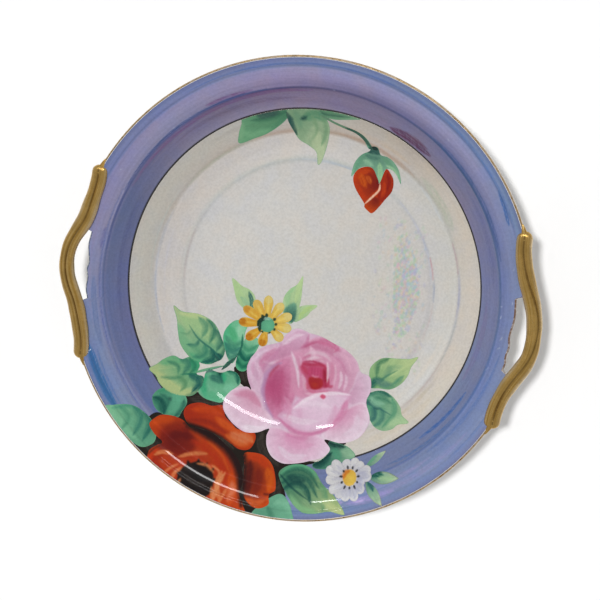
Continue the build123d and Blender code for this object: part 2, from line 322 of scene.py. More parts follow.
def rope_handle(name, turn):
    """A gilded two-ridged rope handle with rounded ends and a pointed spur at each end."""
    y = np.linspace(-ROPE_HALF, ROPE_HALF, 190)
    steps = np.sin(np.linspace(0, math.pi / 2, 12))[1:] * ROPE_CAP
    y_all = np.concatenate([-ROPE_HALF - steps[::-1], y, ROPE_HALF + steps])
    inside = np.clip(y_all, -ROPE_HALF, ROPE_HALF)
    past = np.abs(y_all - inside) / ROPE_CAP
    path = np.column_stack([rope_x(inside), y_all, np.zeros_like(y_all)])
    for centre, spread, push in HAND_BENDS[name]:
        path[:, 0] += push * near_to(y_all, centre, spread)
    along = np.gradient(path, axis=0)
    along /= np.linalg.norm(along, axis=1)[:, None]
    up = np.tile([0.0, 0.0, 1.0], (len(path), 1))
    shrink = np.sqrt(np.clip(1 - past**2, 0.0004, 1))
    hand = 0.10 * np.sin(y_all * 0.23 + turn) + 0.06 * np.sin(y_all * 0.61 + 2 * turn)
    from_end, from_leg = np.abs(y_all) - ROPE_HALF, np.abs(y_all) - 24
    width = (ROPE_WIDE + hand + 0.15 * near_to(from_end, -3, 4) + 0.45 * near_to(from_leg, 0, 10)) * shrink
    height = (ROPE_HIGH + 0.5 * hand) * shrink
    groove = GROOVE_DEEP * shrink**3 * (0.85 + 0.15 * np.sin(y_all * 0.11 + turn))
    groove *= np.clip((1.5 - from_end) / 4, 0, 1)
    shift = GROOVE_SHIFT + GROOVE_WANDER[name] * near_to(y_all, 3, 16) + 0.3 * np.sin(y_all * 0.11)
    rope, rope_side = tube(path, np.cross(along, up), up, width, height, groove, shift, ROPE_RING)
    verts, sides, runs = [rope], [rope_side], [np.repeat(y_all, ROPE_RING)]
    faces = tube_faces(len(y_all), ROPE_RING, 0)
    t = np.linspace(0, 1, 30)
    taper = np.sqrt(np.clip(1 - t**4, 0.001, 1))
    w, h = (2.3 - 1.45 * t) * taper, (1.75 - 0.95 * t) * taper
    for end in (-1, 1):
        lean = end * SPUR_LEAN
        direction = np.array([math.cos(lean), math.sin(lean), 0])
        root = np.array([ROPE_END_X + 0.3, end * (ROPE_HALF - 1.0), 0.1])
        spine = root + np.outer(t * SPUR_LONG, direction) + np.outer(t**2, [0.5, 0, 0.4])
        side = np.tile([-direction[1], direction[0], 0.0], (len(t), 1))
        spur, spur_side = tube(spine, side, up[:len(t)], w, h, 0 * t, 0 * t, SPUR_RING)
        faces += tube_faces(len(t), SPUR_RING, sum(len(v) for v in verts))
        verts.append(spur)
        sides.append(spur_side * 0.5 + 9)
        runs.append(np.repeat(end * (ROPE_HALF + t * 8), SPUR_RING))
    verts, side, run = np.vstack(verts), np.concatenate(sides), np.concatenate(runs)
    colour = gold_colours(side, run, verts[:, 2], np.interp(run, y_all, shift), turn)
    obj = new_object(name, turned(verts, turn) + [0, 0, ROPE_Z], faces)
    fix_normals(obj)
    set_paint(obj, colour)
    return obj


def gold_colours(side, run, height, groove_at, turn):
    """Gold laid on in long strokes, with painted shade round the groove and pale rims that are a painted
    highlight and partly worn gold.
    """
    draw = np.random.default_rng(int(turn * 2) + 40)
    streak = np.zeros_like(side)
    for _ in range(14):
        pitch, pace = draw.uniform(1.5, 8), draw.uniform(0.02, 0.16)
        phase, slow, sway = draw.uniform(0, TURN, 3)
        wander = 0.9 * np.sin(run * 0.08 + slow)
        streak += np.sin(pitch * side + phase + wander) * np.sin(run * pace + sway)
    t = np.clip(0.42 + 0.16 * streak, 0, 1)[:, None]
    colour = np.array([0.44, 0.255, 0.055]) * (1 - t) + np.array([0.62, 0.42, 0.15]) * t
    on_rope = (np.abs(run) < ROPE_HALF + 1) & (height > 0)
    # painted shade: the gold darkened along the groove and a little either side of it
    line = 0.7 * near_to(side, groove_at, 0.26) + 0.22 * near_to(side, groove_at, 1.2)
    shade = np.clip(line * on_rope, 0, 1)[:, None]
    colour = colour * (1 - shade) + np.array([0.15, 0.08, 0.018]) * shade
    # painted highlight: pale gold along both rims of the rope, partly worn gilding as well
    worn = np.clip((np.abs(side) - 2.5) / 0.8, 0, 1) * (0.55 + 0.25 * np.sin(run * 0.19 + turn))
    rim = (worn * (side < 6))[:, None]
    return colour * (1 - rim) + np.array([0.66, 0.52, 0.32]) * rim


# ---------------------------------------------------------------- painted outlines
def inside_loop(points, loop):
    """Which points lie inside a closed loop."""
    x, y = points[:, 0], points[:, 1]
    hit = np.zeros(len(points), bool)
    for (x0, y0), (x1, y1) in zip(loop, np.roll(loop, -1, axis=0)):
        if y0 != y1:
            crosses = (y0 > y) != (y1 > y)
            hit ^= crosses & (x < x0 + (y - y0) * (x1 - x0) / (y1 - y0))
    return hit


def even_spacing(loop, step):
    """The same closed loop with evenly spaced points."""
    closed = np.vstack([loop, loop[:1]])
    run = np.concatenate([[0], np.cumsum(np.linalg.norm(np.diff(closed, axis=0), axis=1))])
    at = np.linspace(0, run[-1], max(12, int(run[-1] / step)) + 1)[:-1]
    return np.column_stack([np.interp(at, run, closed[:, 0]), np.interp(at, run, closed[:, 1])])


def blob(*numbers):
    """A smooth closed outline through a few points, given as x, y, x, y and so on."""
    return smooth_curve(np.reshape(numbers, (-1, 2)), closed=True)


def leaf(base, tip, left, right, point=0.9):
    """A leaf outline from its base to its tip, bulging by left and right of the midrib."""
    base, tip = np.array(base, float), np.array(tip, float)
    chord = tip - base
    across = np.array([-chord[1], chord[0]]) / np.linalg.norm(chord)
    t = np.linspace(0, 1, 26)[:, None]
    swell = np.sin(math.pi * t**point) ** 0.9
    one = base + chord * t + across * left * swell
    other = base + chord * t - across * right * swell
    return np.vstack([one, other[::-1][1:-1]])


def petal_loop(base, tip, width, neck=0.34):
    """A blunt petal, narrow where it leaves the eye and widest past its middle."""
    base, tip = np.array(base, float), np.array(tip, float)
    side = np.array([-(tip - base)[1], (tip - base)[0]]) / np.linalg.norm(tip - base) * width / 2
    along = ((0, neck), (0.4, 0.72), (0.7, 1.0), (0.9, 0.8), (1.0, 0.25))
    right = [base + (tip - base) * t - side * w for t, w in along]
    left = [base + (tip - base) * t + side * w for t, w in along[::-1]]
    return blob(*right, *left)


def fill_points(loops, step):
    """Points of a triangle grid inside the loops, clear of their edges."""
    cloud = np.vstack(loops)
    low, high = cloud.min(0) - step, cloud.max(0) + step
    gx, gy = np.meshgrid(np.arange(low[0], high[0], step), np.arange(low[1], high[1], step * 0.866))
    gx[1::2] += step / 2
    fill = np.column_stack([gx.ravel(), gy.ravel()])
    covered = np.zeros(len(fill), bool)
    keep_off = np.zeros(len(fill), bool)
    for loop in loops:
        covered |= inside_loop(fill, loop)
        for start in range(0, len(loop), 64):
            part = loop[start:start + 64]
            near = np.flatnonzero((np.abs(fill - part.mean(0)) < np.ptp(part, axis=0) + step * 3).all(1))
            if len(near):
                gap = np.linalg.norm(fill[near, None] - part[None], axis=2).min(1)
                keep_off[near[gap < step * 0.55]] = True
    return fill[covered & ~keep_off]


def painted_piece(name, loops, lift, r_max, step=0.36):
    """A thin closed relief over the outlines, draped on the dish's glaze; returns it and its xy."""
    loops = [even_spacing(np.array(loop), step) for loop in loops]
    points = np.vstack([*loops, fill_points(loops, step)])
    edges, first = [], 0
    for loop in loops:
        edges += [(first + k, first + (k + 1) % len(loop)) for k in range(len(loop))]
        first += len(loop)
    out, _, tris, *_ = delaunay_2d_cdt([Vector(p) for p in points], edges, [], 0, 1e-4)
    out, tris = np.array(out), np.array(tris)
    middle = out[tris].mean(1)
    keep = np.zeros(len(tris), bool)
    for loop in loops:
        keep |= inside_loop(middle, loop)
    keep &= np.hypot(middle[:, 0], middle[:, 1]) < r_max
    tris = tris[keep]
    used = np.unique(tris)
    number = np.full(len(out), -1)
    number[used] = np.arange(len(used))
    tris, xy = number[tris], out[used]
    n = len(xy)
    base = hermite(INNER, np.hypot(xy[:, 0], xy[:, 1])) + COAT_LIFT
    pairs = np.vstack([tris[:, [0, 1]], tris[:, [1, 2]], tris[:, [2, 0]]]).tolist()
    known = set(map(tuple, pairs))
    rim = [(a, b) for a, b in pairs if (b, a) not in known]
    verts = np.vstack([np.column_stack([xy, base + lift]), np.column_stack([xy, base - ENAMEL_BITE])])
    faces = tris.tolist() + [[c + n, b + n, a + n] for a, b, c in tris.tolist()]
    faces += [[b, a, a + n, b + n] for a, b in rim]
    obj = new_object(name, verts, faces)
    mark = obj.data.attributes.new("sharp_edge", "BOOLEAN", "EDGE")
    on_rim = {k for pair in rim for k in pair}
    rim_pairs = {(min(p), max(p)) for p in rim}
    sharp = []
    for e in obj.data.edges:
        a, b = e.vertices[0] % n, e.vertices[1] % n
        sharp.append((min(a, b), max(a, b)) in rim_pairs or (a in on_rim and a == b))
    mark.data.foreach_set("value", sharp)
    return obj, np.vstack([xy, xy])


# ---------------------------------------------------------------- brushwork
class Canvas:
    """Colours being painted on the vertices of one piece, in display values 0 to 1."""

    def __init__(self, obj, xy, ground):
        self.obj, self.xy = obj, xy
        self.rgb = np.tile(np.array(ground, float) / 255, (len(xy), 1))
        self.seed = 0
        self.allowed = np.ones(len(xy), bool)
        self.pairs = np.array([e.vertices[:] for e in obj.data.edges])

    def within(self, *loops):
        """Keep the brush inside these loops, or free it again."""
        self.allowed = np.zeros(len(self.xy), bool) if loops else np.ones(len(self.xy), bool)
        for loop in loops:
            self.allowed |= inside_loop(self.xy, loop)

    def soften(self, times):
        """Let the wet colours run together a little."""
        a, b = self.pairs.T
        count = np.bincount(np.concatenate([a, b]), minlength=len(self.xy))[:, None] + 1.0
        for _ in range(times):
            total = self.rgb.copy()
            for k in range(3):
                total[:, k] += np.bincount(a, self.rgb[b, k], len(self.xy))
                total[:, k] += np.bincount(b, self.rgb[a, k], len(self.xy))
            self.rgb = np.where(self.allowed[:, None], total / count, self.rgb)

    def _near(self, line, reach):
        """The vertices round a line that the brush may touch."""
        inside = ((self.xy > line.min(0) - reach) & (self.xy < line.max(0) + reach)).all(1)
        return np.flatnonzero(inside & self.allowed)

    def _hairs(self, across, along, strength):
        """Brush-hair streaks: fine waves across the stroke that wander slowly along it."""
        self.seed += 1
        draw = np.random.default_rng(self.seed)
        total = np.zeros_like(across)
        for pitch in (1.0, 1.9, 3.3, 5.2):
            phase, sway, bend = draw.uniform(0, TURN, 3)
            total += np.sin(across * pitch * 5 + phase + 0.9 * np.sin(along * 2.4 + sway)) / 4
            total += 0.5 * np.sin(along * 5 * pitch + bend + across * 3) / 4
        return 1 + strength * total

    def _blend(self, pick, colour, alpha):
        """Lay a colour over the picked vertices."""
        alpha = np.clip(alpha, 0, 1)[:, None]
        colour = np.atleast_2d(np.array(colour, float))
        self.rgb[pick] = self.rgb[pick] * (1 - alpha) + colour / 255 * alpha

    def stroke(self, points, width, colour, strength=1.0, hairs=0.5, soft=0.35, fade=0.0, lean=0):
        """One brush stroke along a smooth line, tapering at both ends.

        The points are x, y pairs, in pairs or one after the other. The stroke may fade along its
        run. A lean of 1 loads the brush on the left of the run, -1 on the right.
        """
        line = smooth_curve(np.reshape(points, (-1, 2)), per_span=6)
        pick = self._near(line, width)
        if not len(pick):
            return
        p = self.xy[pick]
        a, d = line[:-1], np.diff(line, axis=0)
        size = np.linalg.norm(d, axis=1)
        t = np.clip(((p[:, None] - a) * d).sum(2) / size**2, 0, 1)
        gap = p[:, None] - (a + d * t[..., None])
        dist = np.linalg.norm(gap, axis=2)
        best = dist.argmin(1)
        row = np.arange(len(p))
        run = np.concatenate([[0], np.cumsum(size)])
        s = (run[best] + t[row, best] * size[best]) / run[-1]
        side = (d[best, 0] * gap[row, best, 1] - d[best, 1] * gap[row, best, 0]) / size[best]
        half = width / 2 * np.sqrt(np.clip(np.minimum(s / 0.22, (1 - s) / 0.3), 0.04, 1))
        edge = np.clip((half - dist[row, best]) / soft + 0.5, 0, 1)
        hair = self._hairs(side / width * 2, s * run[-1] / 6, hairs)
        alpha = strength * edge * hair * (1 - fade * s)
        if lean:
            alpha = alpha * np.clip(0.85 + 0.75 * lean * side / half, 0, 1)
        self._blend(pick, colour, alpha)

    def strokes(self, *rows, **same):
        """Several strokes, each a row of points, width, colour, strength, hairs and softness."""
        for row in rows:
            self.stroke(*row, **same)

    def area(self, points, *tones, **how):
        """Fill the smooth closed shape through a few points."""
        self.fill(blob(*points), *tones, **how)

    def fill(self, loop, inner, outer=None, origin=None, strength=1.0, hairs=0.5, soft=0.5,
             rim=None, rim_width=0.8):
        """Fill a loop, shading from inner to outer with hairs spreading from origin."""
        loop = even_spacing(np.array(loop), 0.9)
        pick = self._near(loop, 1.5)
        if not len(pick):
            return
        p = self.xy[pick]
        dist = np.full(len(p), 9e9)
        for k in range(0, len(loop), 40):
            dist = np.minimum(dist, np.linalg.norm(p[:, None] - loop[None, k:k + 40], axis=2).min(1))
        dist = np.where(inside_loop(p, loop), dist, -dist)
        origin = loop.mean(0) if origin is None else np.array(origin, float)
        away = p - origin
        reach = np.linalg.norm(away, axis=1)
        far = np.linalg.norm(loop - origin, axis=1).max()
        near = 0 if inside_loop(origin[None], loop)[0] else np.linalg.norm(loop - origin, axis=1).min()
        t = np.clip((reach - near) / (far - near + 1e-6), 0, 1)
        angle = np.arctan2(away[:, 1], away[:, 0])
        hair = self._hairs(angle * 4, t * 2, hairs)
        outer = inner if outer is None else outer
        t = np.clip(t + 0.16 * (hair - 1), 0, 1)[:, None]
        colour = np.array(inner, float) * (1 - t) + np.array(outer, float) * t
        colour = colour * (1 + 0.05 * (hair[:, None] - 1))
        if rim is not None:
            at_rim = (np.clip(1 - dist / rim_width, 0, 1) ** 0.8 * (0.85 + 0.15 * hair))[:, None]
            colour = colour * (1 - at_rim) + np.array(rim, float) * at_rim
        self._blend(pick, colour, strength * np.clip(dist / soft + 0.5, 0, 1))

    def finish(self, sheen):
        """Store the painting on the piece, less the light that its gloss adds."""
        set_paint(self.obj, linear(np.clip(self.rgb, 0, 1) * 255, sheen))


# ---------------------------------------------------------------- materials
class Nodes:
    """A small helper for building one material's node tree."""

    def __init__(self, name):
        self.material = bpy.data.materials.new(name)
        self.material.use_nodes = True
        self.tree = self.material.node_tree
        self.shader = self.tree.nodes["Principled BSDF"]

    def add(self, kind, **values):
        """A new node; each value goes to the input or the property of that name."""
        node = self.tree.nodes.new(kind)
        for key, value in values.items():
            if key in node.inputs:
                node.inputs[key].default_value = value
            else:
                setattr(node, key, value)
        return node

    def link(self, out, into):
        """Join an output to an input."""
        self.tree.links.new(out, into)

    def math(self, operation, a, b=0.0):
        """One step of arithmetic on numbers or outputs."""
        node = self.add("ShaderNodeMath", operation=operation)
        for socket, value in zip(node.inputs, (a, b)):
            if isinstance(value, (int, float)):
                socket.default_value = value
            else:
                self.link(value, socket)
        return node.outputs[0]

    def mix(self, factor, a, b, blend="MIX"):
        """Two colours or outputs mixed."""
        node = self.add("ShaderNodeMix", data_type="RGBA", blend_type=blend)
        for socket, value in zip((node.inputs[0], node.inputs[6], node.inputs[7]), (factor, a, b)):
            if isinstance(value, (int, float)):
                socket.default_value = value
            elif isinstance(value, tuple):
                socket.default_value = (*value, 1)
            else:
                self.link(value, socket)
        return node.outputs[2]

    def times(self, colour, *others):
        """Colours multiplied together."""
        for other in others:
            colour = self.mix(1.0, colour, other, "MULTIPLY")
        return colour

    def paint(self):
        """The colours stored on the vertices."""
        return self.add("ShaderNodeAttribute", attribute_name="paint").outputs["Color"]

    def split(self, vector):
        """The three parts of a vector."""
        node = self.add("ShaderNodeSeparateXYZ")
        self.link(vector, node.inputs[0])
        return node.outputs

    def place(self):
        """Coordinates on the dish, in metres."""
        return self.add("ShaderNodeTexCoord").outputs["Object"]

    def ring_place(self, radial, around):
        """Coordinates for streaks that run round the dish, and then the radius and the height."""
        x, y, height = self.split(self.place())
        square = self.math("ADD", self.math("MULTIPLY", x, x), self.math("MULTIPLY", y, y))
        radius = self.math("SQRT", square)
        join = self.add("ShaderNodeCombineXYZ")
        self.link(self.math("MULTIPLY", radius, radial), join.inputs[0])
        self.link(self.math("MULTIPLY", self.math("DIVIDE", x, radius), around), join.inputs[1])
        self.link(self.math("MULTIPLY", self.math("DIVIDE", y, radius), around), join.inputs[2])
        return join.outputs[0], radius, height

    def noise(self, where, scale, detail=3.0, rough=0.55, low=0.35, high=0.65, distortion=0.0):
        """Noise stretched so that low and high become 0 and 1."""
        node = self.add("ShaderNodeTexNoise", Scale=scale, Detail=detail, Roughness=rough,
                        Distortion=distortion)
        self.link(where, node.inputs["Vector"])
        spread = self.add("ShaderNodeMapRange")
        self.link(node.outputs["Fac"], spread.inputs[0])
        spread.inputs[1].default_value = low
        spread.inputs[2].default_value = high
        return spread.outputs[0]

    def ramp(self, value, stops):
        """A colour picked by value from (position, colour) stops."""
        node = self.add("ShaderNodeValToRGB")
        self.link(value, node.inputs[0])
        marks = node.color_ramp.elements
        while len(marks) < len(stops):
            marks.new(0.5)
        for mark, (at, colour) in zip(marks, stops):
            mark.position = at
            mark.color = (*colour, 1)
        return node.outputs[0]

    def blend(self, value, low, high):
        """A colour that runs from low to high with value."""
        return self.ramp(value, [(0.0, low), (1.0, high)])

    def surface(self, colour, value, smooth, rough):
        """The base colour, and a roughness that runs from smooth to rough with value."""
        self.link(colour, self.shader.inputs["Base Color"])
        spread = self.add("ShaderNodeMapRange")
        self.link(value, spread.inputs[0])
        spread.inputs[3].default_value = smooth
        spread.inputs[4].default_value = rough
        self.link(spread.outputs[0], self.shader.inputs["Roughness"])

    def bump(self, height, distance, strength):
        """Fine relief on the surface."""
        node = self.add("ShaderNodeBump", Strength=strength, Distance=distance)
        self.link(height, node.inputs["Height"])
        self.link(node.outputs[0], self.shader.inputs["Normal"])

    def gloss(self, coat=0.0, specular=0.5, metallic=0.0):
        """Steady values of the shader's shine."""
        self.shader.inputs["Coat Weight"].default_value = coat
        self.shader.inputs["Coat Roughness"].default_value = 0.03
        self.shader.inputs["Specular IOR Level"].default_value = specular
        self.shader.inputs["Metallic"].default_value = metallic
        self.shader.inputs["IOR"].default_value = 1.5


def grey(v):
    """An even grey."""
    return (v, v, v)


def glaze_material(name, streak, mottle, rough_high):
    """Painted lustre: stored colours, streaked round the dish, under a clear glaze."""
    n = Nodes(name)
    where, _, _ = n.ring_place(1400.0, 5.0)
    streaks = n.noise(where, 1.0, detail=4.0, rough=0.6, low=0.3, high=0.7)
    fine = n.noise(n.place(), 900.0)
    cloud = n.noise(n.place(), 90.0)
    tone = n.blend(streaks, grey(1 - streak), grey(1 + streak))
    warm = n.ramp(cloud, [(0.0, (1 - mottle, 1 - mottle / 2, 1 + mottle)), (0.5, (1, 1, 1)),
                          (1.0, (1 + mottle, 1, 1 - mottle))])
    speck = n.ramp(fine, [(0.0, grey(0.93)), (0.6, grey(1.0)), (1.0, grey(1.04))])
    n.surface(n.times(n.paint(), tone, warm, speck), streaks, 0.10, rough_high)
    n.bump(n.mix(0.5, streaks, fine), 0.00002, 0.15)
    n.gloss()
    return n.material


def enamel_material(name, hairs=0.05):
    """Overglaze enamel laid on with a brush: stored colours, fine pigment grain, fired gloss."""
    n = Nodes(name)
    grain = n.noise(n.place(), 1500.0, detail=4.0, rough=0.7)
    pool = n.noise(n.place(), 260.0, detail=4.0, rough=0.6, distortion=0.6)
    tone = n.blend(grain, grey(1 - hairs), grey(1 + hairs))
    wash = n.blend(pool, grey(1 - hairs * 0.8), grey(1 + hairs * 0.7))
    n.surface(n.times(n.paint(), tone, wash), pool, 0.12, 0.30)
    n.bump(pool, 0.00002, 0.05)
    n.gloss(coat=0.45, specular=0.06)
    return n.material


def porcelain_material(name):
    """White glazed clay, bare and slightly buff where the foot rests, stained at the cut rims."""
    n = Nodes(name)
    where, radius, height = n.ring_place(500.0, 6.0)
    turning = n.noise(where, 1.0, detail=4.0)
    pits = n.noise(n.place(), 700.0, detail=2.0, low=0.2, high=0.5)
    chips = n.noise(n.place(), 620.0, detail=4.0, low=0.50, high=0.62)
    bare = n.math("LESS_THAN", height, FOOT_BARE)
    glaze = n.blend(turning, (0.73, 0.715, 0.69), (0.79, 0.78, 0.76))
    biscuit = n.blend(pits, (0.44, 0.38, 0.30), (0.66, 0.60, 0.51))
    on_right = n.math("GREATER_THAN", n.split(n.place())[0], 0.0)
    stained = n.mix(on_right, (0.055, 0.08, 0.14), (0.15, 0.075, 0.04))
    facing = n.split(n.add("ShaderNodeNewGeometry").outputs["Normal"])[2]
    past, upright = n.math("GREATER_THAN", radius, CUT_RIM[0]), n.math("GREATER_THAN", facing, -0.3)
    rim = n.math("MULTIPLY", n.math("MULTIPLY", past, upright), n.math("LESS_THAN", radius, CUT_RIM[1]))
    glaze = n.mix(rim, glaze, n.mix(n.math("MULTIPLY", chips, 0.6), stained, (0.62, 0.60, 0.57)))
    n.surface(n.mix(bare, glaze, biscuit), bare, 0.14, 0.75)
    n.bump(n.mix(0.6, turning, pits), 0.00005, 0.2)
    n.gloss()
    return n.material


def gold_material(name, dark, bright, wear):
    """Brushed-on bright gold: brush streaks, thin worn places and a soft metal shine."""
    n = Nodes(name)
    streaks = n.noise(n.place(), 420.0, detail=5.0, rough=0.65, distortion=1.2)
    worn = n.noise(n.place(), 130.0, detail=5.0, rough=0.7, low=0.45, high=0.62)
    grain = n.noise(n.place(), 1800.0, detail=2.0)
    between = tuple((a + b) / 2 for a, b in zip(dark, bright))
    colour = n.ramp(streaks, [(0.0, dark), (0.55, between), (1.0, bright)])
    colour = n.mix(n.math("MULTIPLY", worn, 0.35), colour, wear)
    n.surface(colour, n.mix(0.5, streaks, worn), 0.22, 0.5)
    n.bump(n.mix(0.4, streaks, grain), 0.00008, 0.25)
    n.gloss(metallic=1.0)
    return n.material


def handle_gold(name):
    """Gilding on the ropes: the stored strokes of gold with their painted groove shade and rim highlight,
    fine grain and a soft metal shine.
    """
    n = Nodes(name)
    grain = n.noise(n.place(), 900.0, rough=0.6)
    worn = n.noise(n.place(), 150.0, detail=4.0, rough=0.6, high=0.7)
    tone = n.blend(grain, grey(0.95), grey(1.05))
    wash = n.blend(worn, (0.90, 0.89, 0.86), (1.08, 1.08, 1.10))
    n.surface(n.times(n.paint(), tone, wash), worn, 0.18, 0.36)
    n.bump(n.mix(0.5, grain, worn), 0.00002, 0.12)
    n.gloss(metallic=0.9)
    return n.material


def simple_material(name, low, high, scale, smooth, rough):
    """A plain pigment or surface with a little mottling."""
    n = Nodes(name)
    cloud = n.noise(n.place(), scale, detail=4.0)
    n.surface(n.blend(cloud, low, high), cloud, smooth, rough)
    return n.material


def dress(obj, material, node):
    """Give a piece its material, hide the CAD part that it takes the place of, and hang it under the root
    body.
    """
    obj.data.materials.clear()
    obj.data.materials.append(material)
    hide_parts(node)
    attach(obj, "root")


# ---------------------------------------------------------------- lustre colours
def around(theta, stops):
    """A colour that changes round the dish: (angle in degrees, display colour) stops."""
    angles = np.array([s[0] for s in stops], float)
    colours = np.array([s[1] for s in stops], float)
    order = np.argsort(angles)
    angles, colours = angles[order], colours[order]
    angles = np.concatenate([[angles[-1] - 360], angles, [angles[0] + 360]])
    colours = np.vstack([colours[-1:], colours, colours[:1]])
    at = np.degrees(theta) % 360
    return np.stack([np.interp(at, angles, colours[:, k]) for k in range(3)], -1)


BORDER_RINGS = [
    (88.4, [(15, (124, 128, 160)), (45, (134, 126, 150)), (80, (136, 130, 158)), (105, (146, 137, 162)),
            (135, (138, 134, 157)), (165, (104, 110, 144)), (200, (106, 111, 152)), (335, (120, 132, 163))]),
    (96.6, [(15, (118, 122, 160)), (45, (122, 122, 158)), (75, (130, 124, 154)), (105, (130, 121, 148)),
            (135, (118, 112, 146)), (165, (102, 112, 146)), (200, (107, 117, 156)), (240, (98, 114, 158)),
            (335, (122, 130, 160))]),
    (97.6, [(20, (116, 122, 152)), (60, (120, 118, 150)), (100, (118, 112, 140)), (135, (118, 118, 150)),
            (185, (112, 118, 154)), (230, (120, 126, 160)), (335, (112, 124, 158))]),
    (98.0, [(15, (96, 110, 146)), (45, (80, 98, 136)), (75, (94, 94, 130)), (105, (94, 88, 118)),
            (135, (112, 116, 146)), (165, (96, 104, 142)), (200, (100, 112, 150)), (225, (122, 126, 164)),
            (335, (102, 120, 160))]),
    (98.6, [(15, (94, 110, 148)), (45, (82, 98, 138)), (75, (96, 96, 132)), (105, (98, 92, 122)),
            (135, (122, 122, 152)), (165, (104, 110, 146)), (200, (108, 120, 156)), (225, (126, 130, 166)),
            (300, (122, 126, 166)), (335, (104, 122, 162))]),
    (99.1, [(20, (110, 120, 162)), (75, (114, 110, 144)), (105, (134, 124, 158)), (135, (136, 136, 166)),
            (165, (142, 140, 168)), (200, (132, 134, 166)), (260, (122, 134, 150)), (335, (116, 130, 172))]),
    (103.5, [(15, (120, 130, 166)), (45, (134, 134, 166)), (105, (147, 137, 171)), (135, (141, 140, 170)),
             (165, (139, 136, 170)), (200, (120, 134, 168)), (335, (118, 132, 168))]),
    (107.6, [(20, (120, 132, 166)), (60, (142, 144, 176)), (105, (146, 141, 173)), (165, (132, 130, 166)),
             (200, (114, 126, 164)), (335, (124, 137, 170))]),
    (108.7, [(35, (118, 130, 168)), (75, (112, 124, 160)), (105, (124, 134, 168)), (135, (120, 128, 166)),
             (185, (112, 122, 160)), (215, (78, 112, 156)), (335, (134, 142, 172))]),
    (109.6, [(35, (114, 128, 166)), (75, (110, 122, 160)), (105, (122, 132, 166)), (135, (120, 126, 166)),
             (185, (110, 120, 160)), (215, (78, 110, 156)), (335, (126, 136, 170))]),
    (110.8, [(35, (112, 132, 164)), (105, (116, 126, 164)), (185, (116, 122, 160)), (215, (104, 122, 160)),
             (335, (120, 132, 168))]),
    (112.8, [(35, (100, 112, 148)), (105, (104, 112, 150)), (215, (96, 108, 146)), (335, (116, 118, 150))]),
]
WELL_RINGS = [
    (0.0, [(0, (194, 192, 187))]),
    (45.0, [(10, (191, 188, 182)), (60, (192, 189, 184)), (120, (195, 193, 189)), (270, (196, 194, 190))]),
    (60.5, [(10, (191, 187, 182)), (60, (190, 187, 182)), (120, (192, 190, 187)), (200, (191, 189, 186)),
            (270, (196, 194, 190))]),
    (62.0, [(10, (184, 181, 178)), (90, (182, 184, 181)), (200, (182, 180, 178))]),
    (63.0, [(10, (186, 183, 179)), (90, (186, 188, 182)), (200, (186, 184, 180))]),
    (65.0, [(10, (190, 188, 184)), (100, (198, 194, 189)), (180, (190, 185, 180)), (220, (198, 196, 191))]),
    (75.3, [(10, (196, 194, 187)), (60, (192, 190, 184)), (100, (197, 192, 187)), (180, (193, 188, 184)),
            (330, (204, 202, 197))]),
    (76.8, [(10, (190, 186, 180)), (40, (180, 180, 172)), (90, (170, 155, 140)), (190, (184, 182, 178)),
            (330, (190, 186, 180))]),
    (78.6, [(10, (196, 190, 180)), (40, (190, 184, 176)), (90, (182, 172, 163)), (180, (178, 176, 170)),
            (220, (182, 178, 172)), (330, (198, 190, 182))]),
    (84.0, [(10, (200, 192, 182)), (40, (196, 188, 176)), (60, (182, 172, 160)), (90, (182, 178, 170)),
            (190, (186, 184, 176)), (330, (202, 196, 184))]),
    (88.0, [(10, (198, 192, 182)), (40, (192, 186, 176)), (60, (172, 162, 150)), (90, (180, 176, 168)),
            (190, (184, 180, 174)), (330, (198, 192, 184))]),
]


def ring_colours(rings, xy):
    """Display colours from rings of colour stops, with ring edges that wobble a little, as in hand banding.
    """
    radius = np.hypot(xy[:, 0], xy[:, 1])
    theta = np.arctan2(xy[:, 1], xy[:, 0])
    bands = np.array([around(theta, stops) for _, stops in rings])
    marks = np.array([r for r, _ in rings])
    wobble = radius + 0.18 * np.sin(3 * theta + 0.7) + 0.10 * np.sin(7 * theta)
    i = np.clip(np.searchsorted(marks, wobble) - 1, 0, len(marks) - 2)
    t = np.clip((wobble - marks[i]) / (marks[i + 1] - marks[i]), 0, 1)[:, None]
    row = np.arange(len(xy))
    return bands[i, row] * (1 - t) + bands[i + 1, row] * t


def ring_streaks(xy, seed, depth):
    """Brush streaks that run round the dish and come and go slowly."""
    radius = np.hypot(xy[:, 0], xy[:, 1])
    theta = np.arctan2(xy[:, 1], xy[:, 0])
    draw = np.random.default_rng(seed)
    total = np.zeros(len(xy))
    for _ in range(14):
        pitch, phase, _, sway = draw.uniform(0.6, 3.2), *draw.uniform(0, TURN, 3)
        lobes = draw.integers(1, 6)
        total += np.sin(pitch * radius + phase) * (0.6 + 0.4 * np.sin(lobes * theta + sway)) / 14
    return 1 + depth * total[:, None] * 2.2


def arc(radius, first, last, drift=0.0):
    """A few points along an arc of the dish, in degrees, drifting outward by drift."""
    steps = max(3, int(abs(last - first) / 8) + 2)
    t = np.linspace(0, 1, steps)
    angle, r = np.radians(first + (last - first) * t), radius + drift * t
    return np.column_stack([r * np.cos(angle), r * np.sin(angle)])


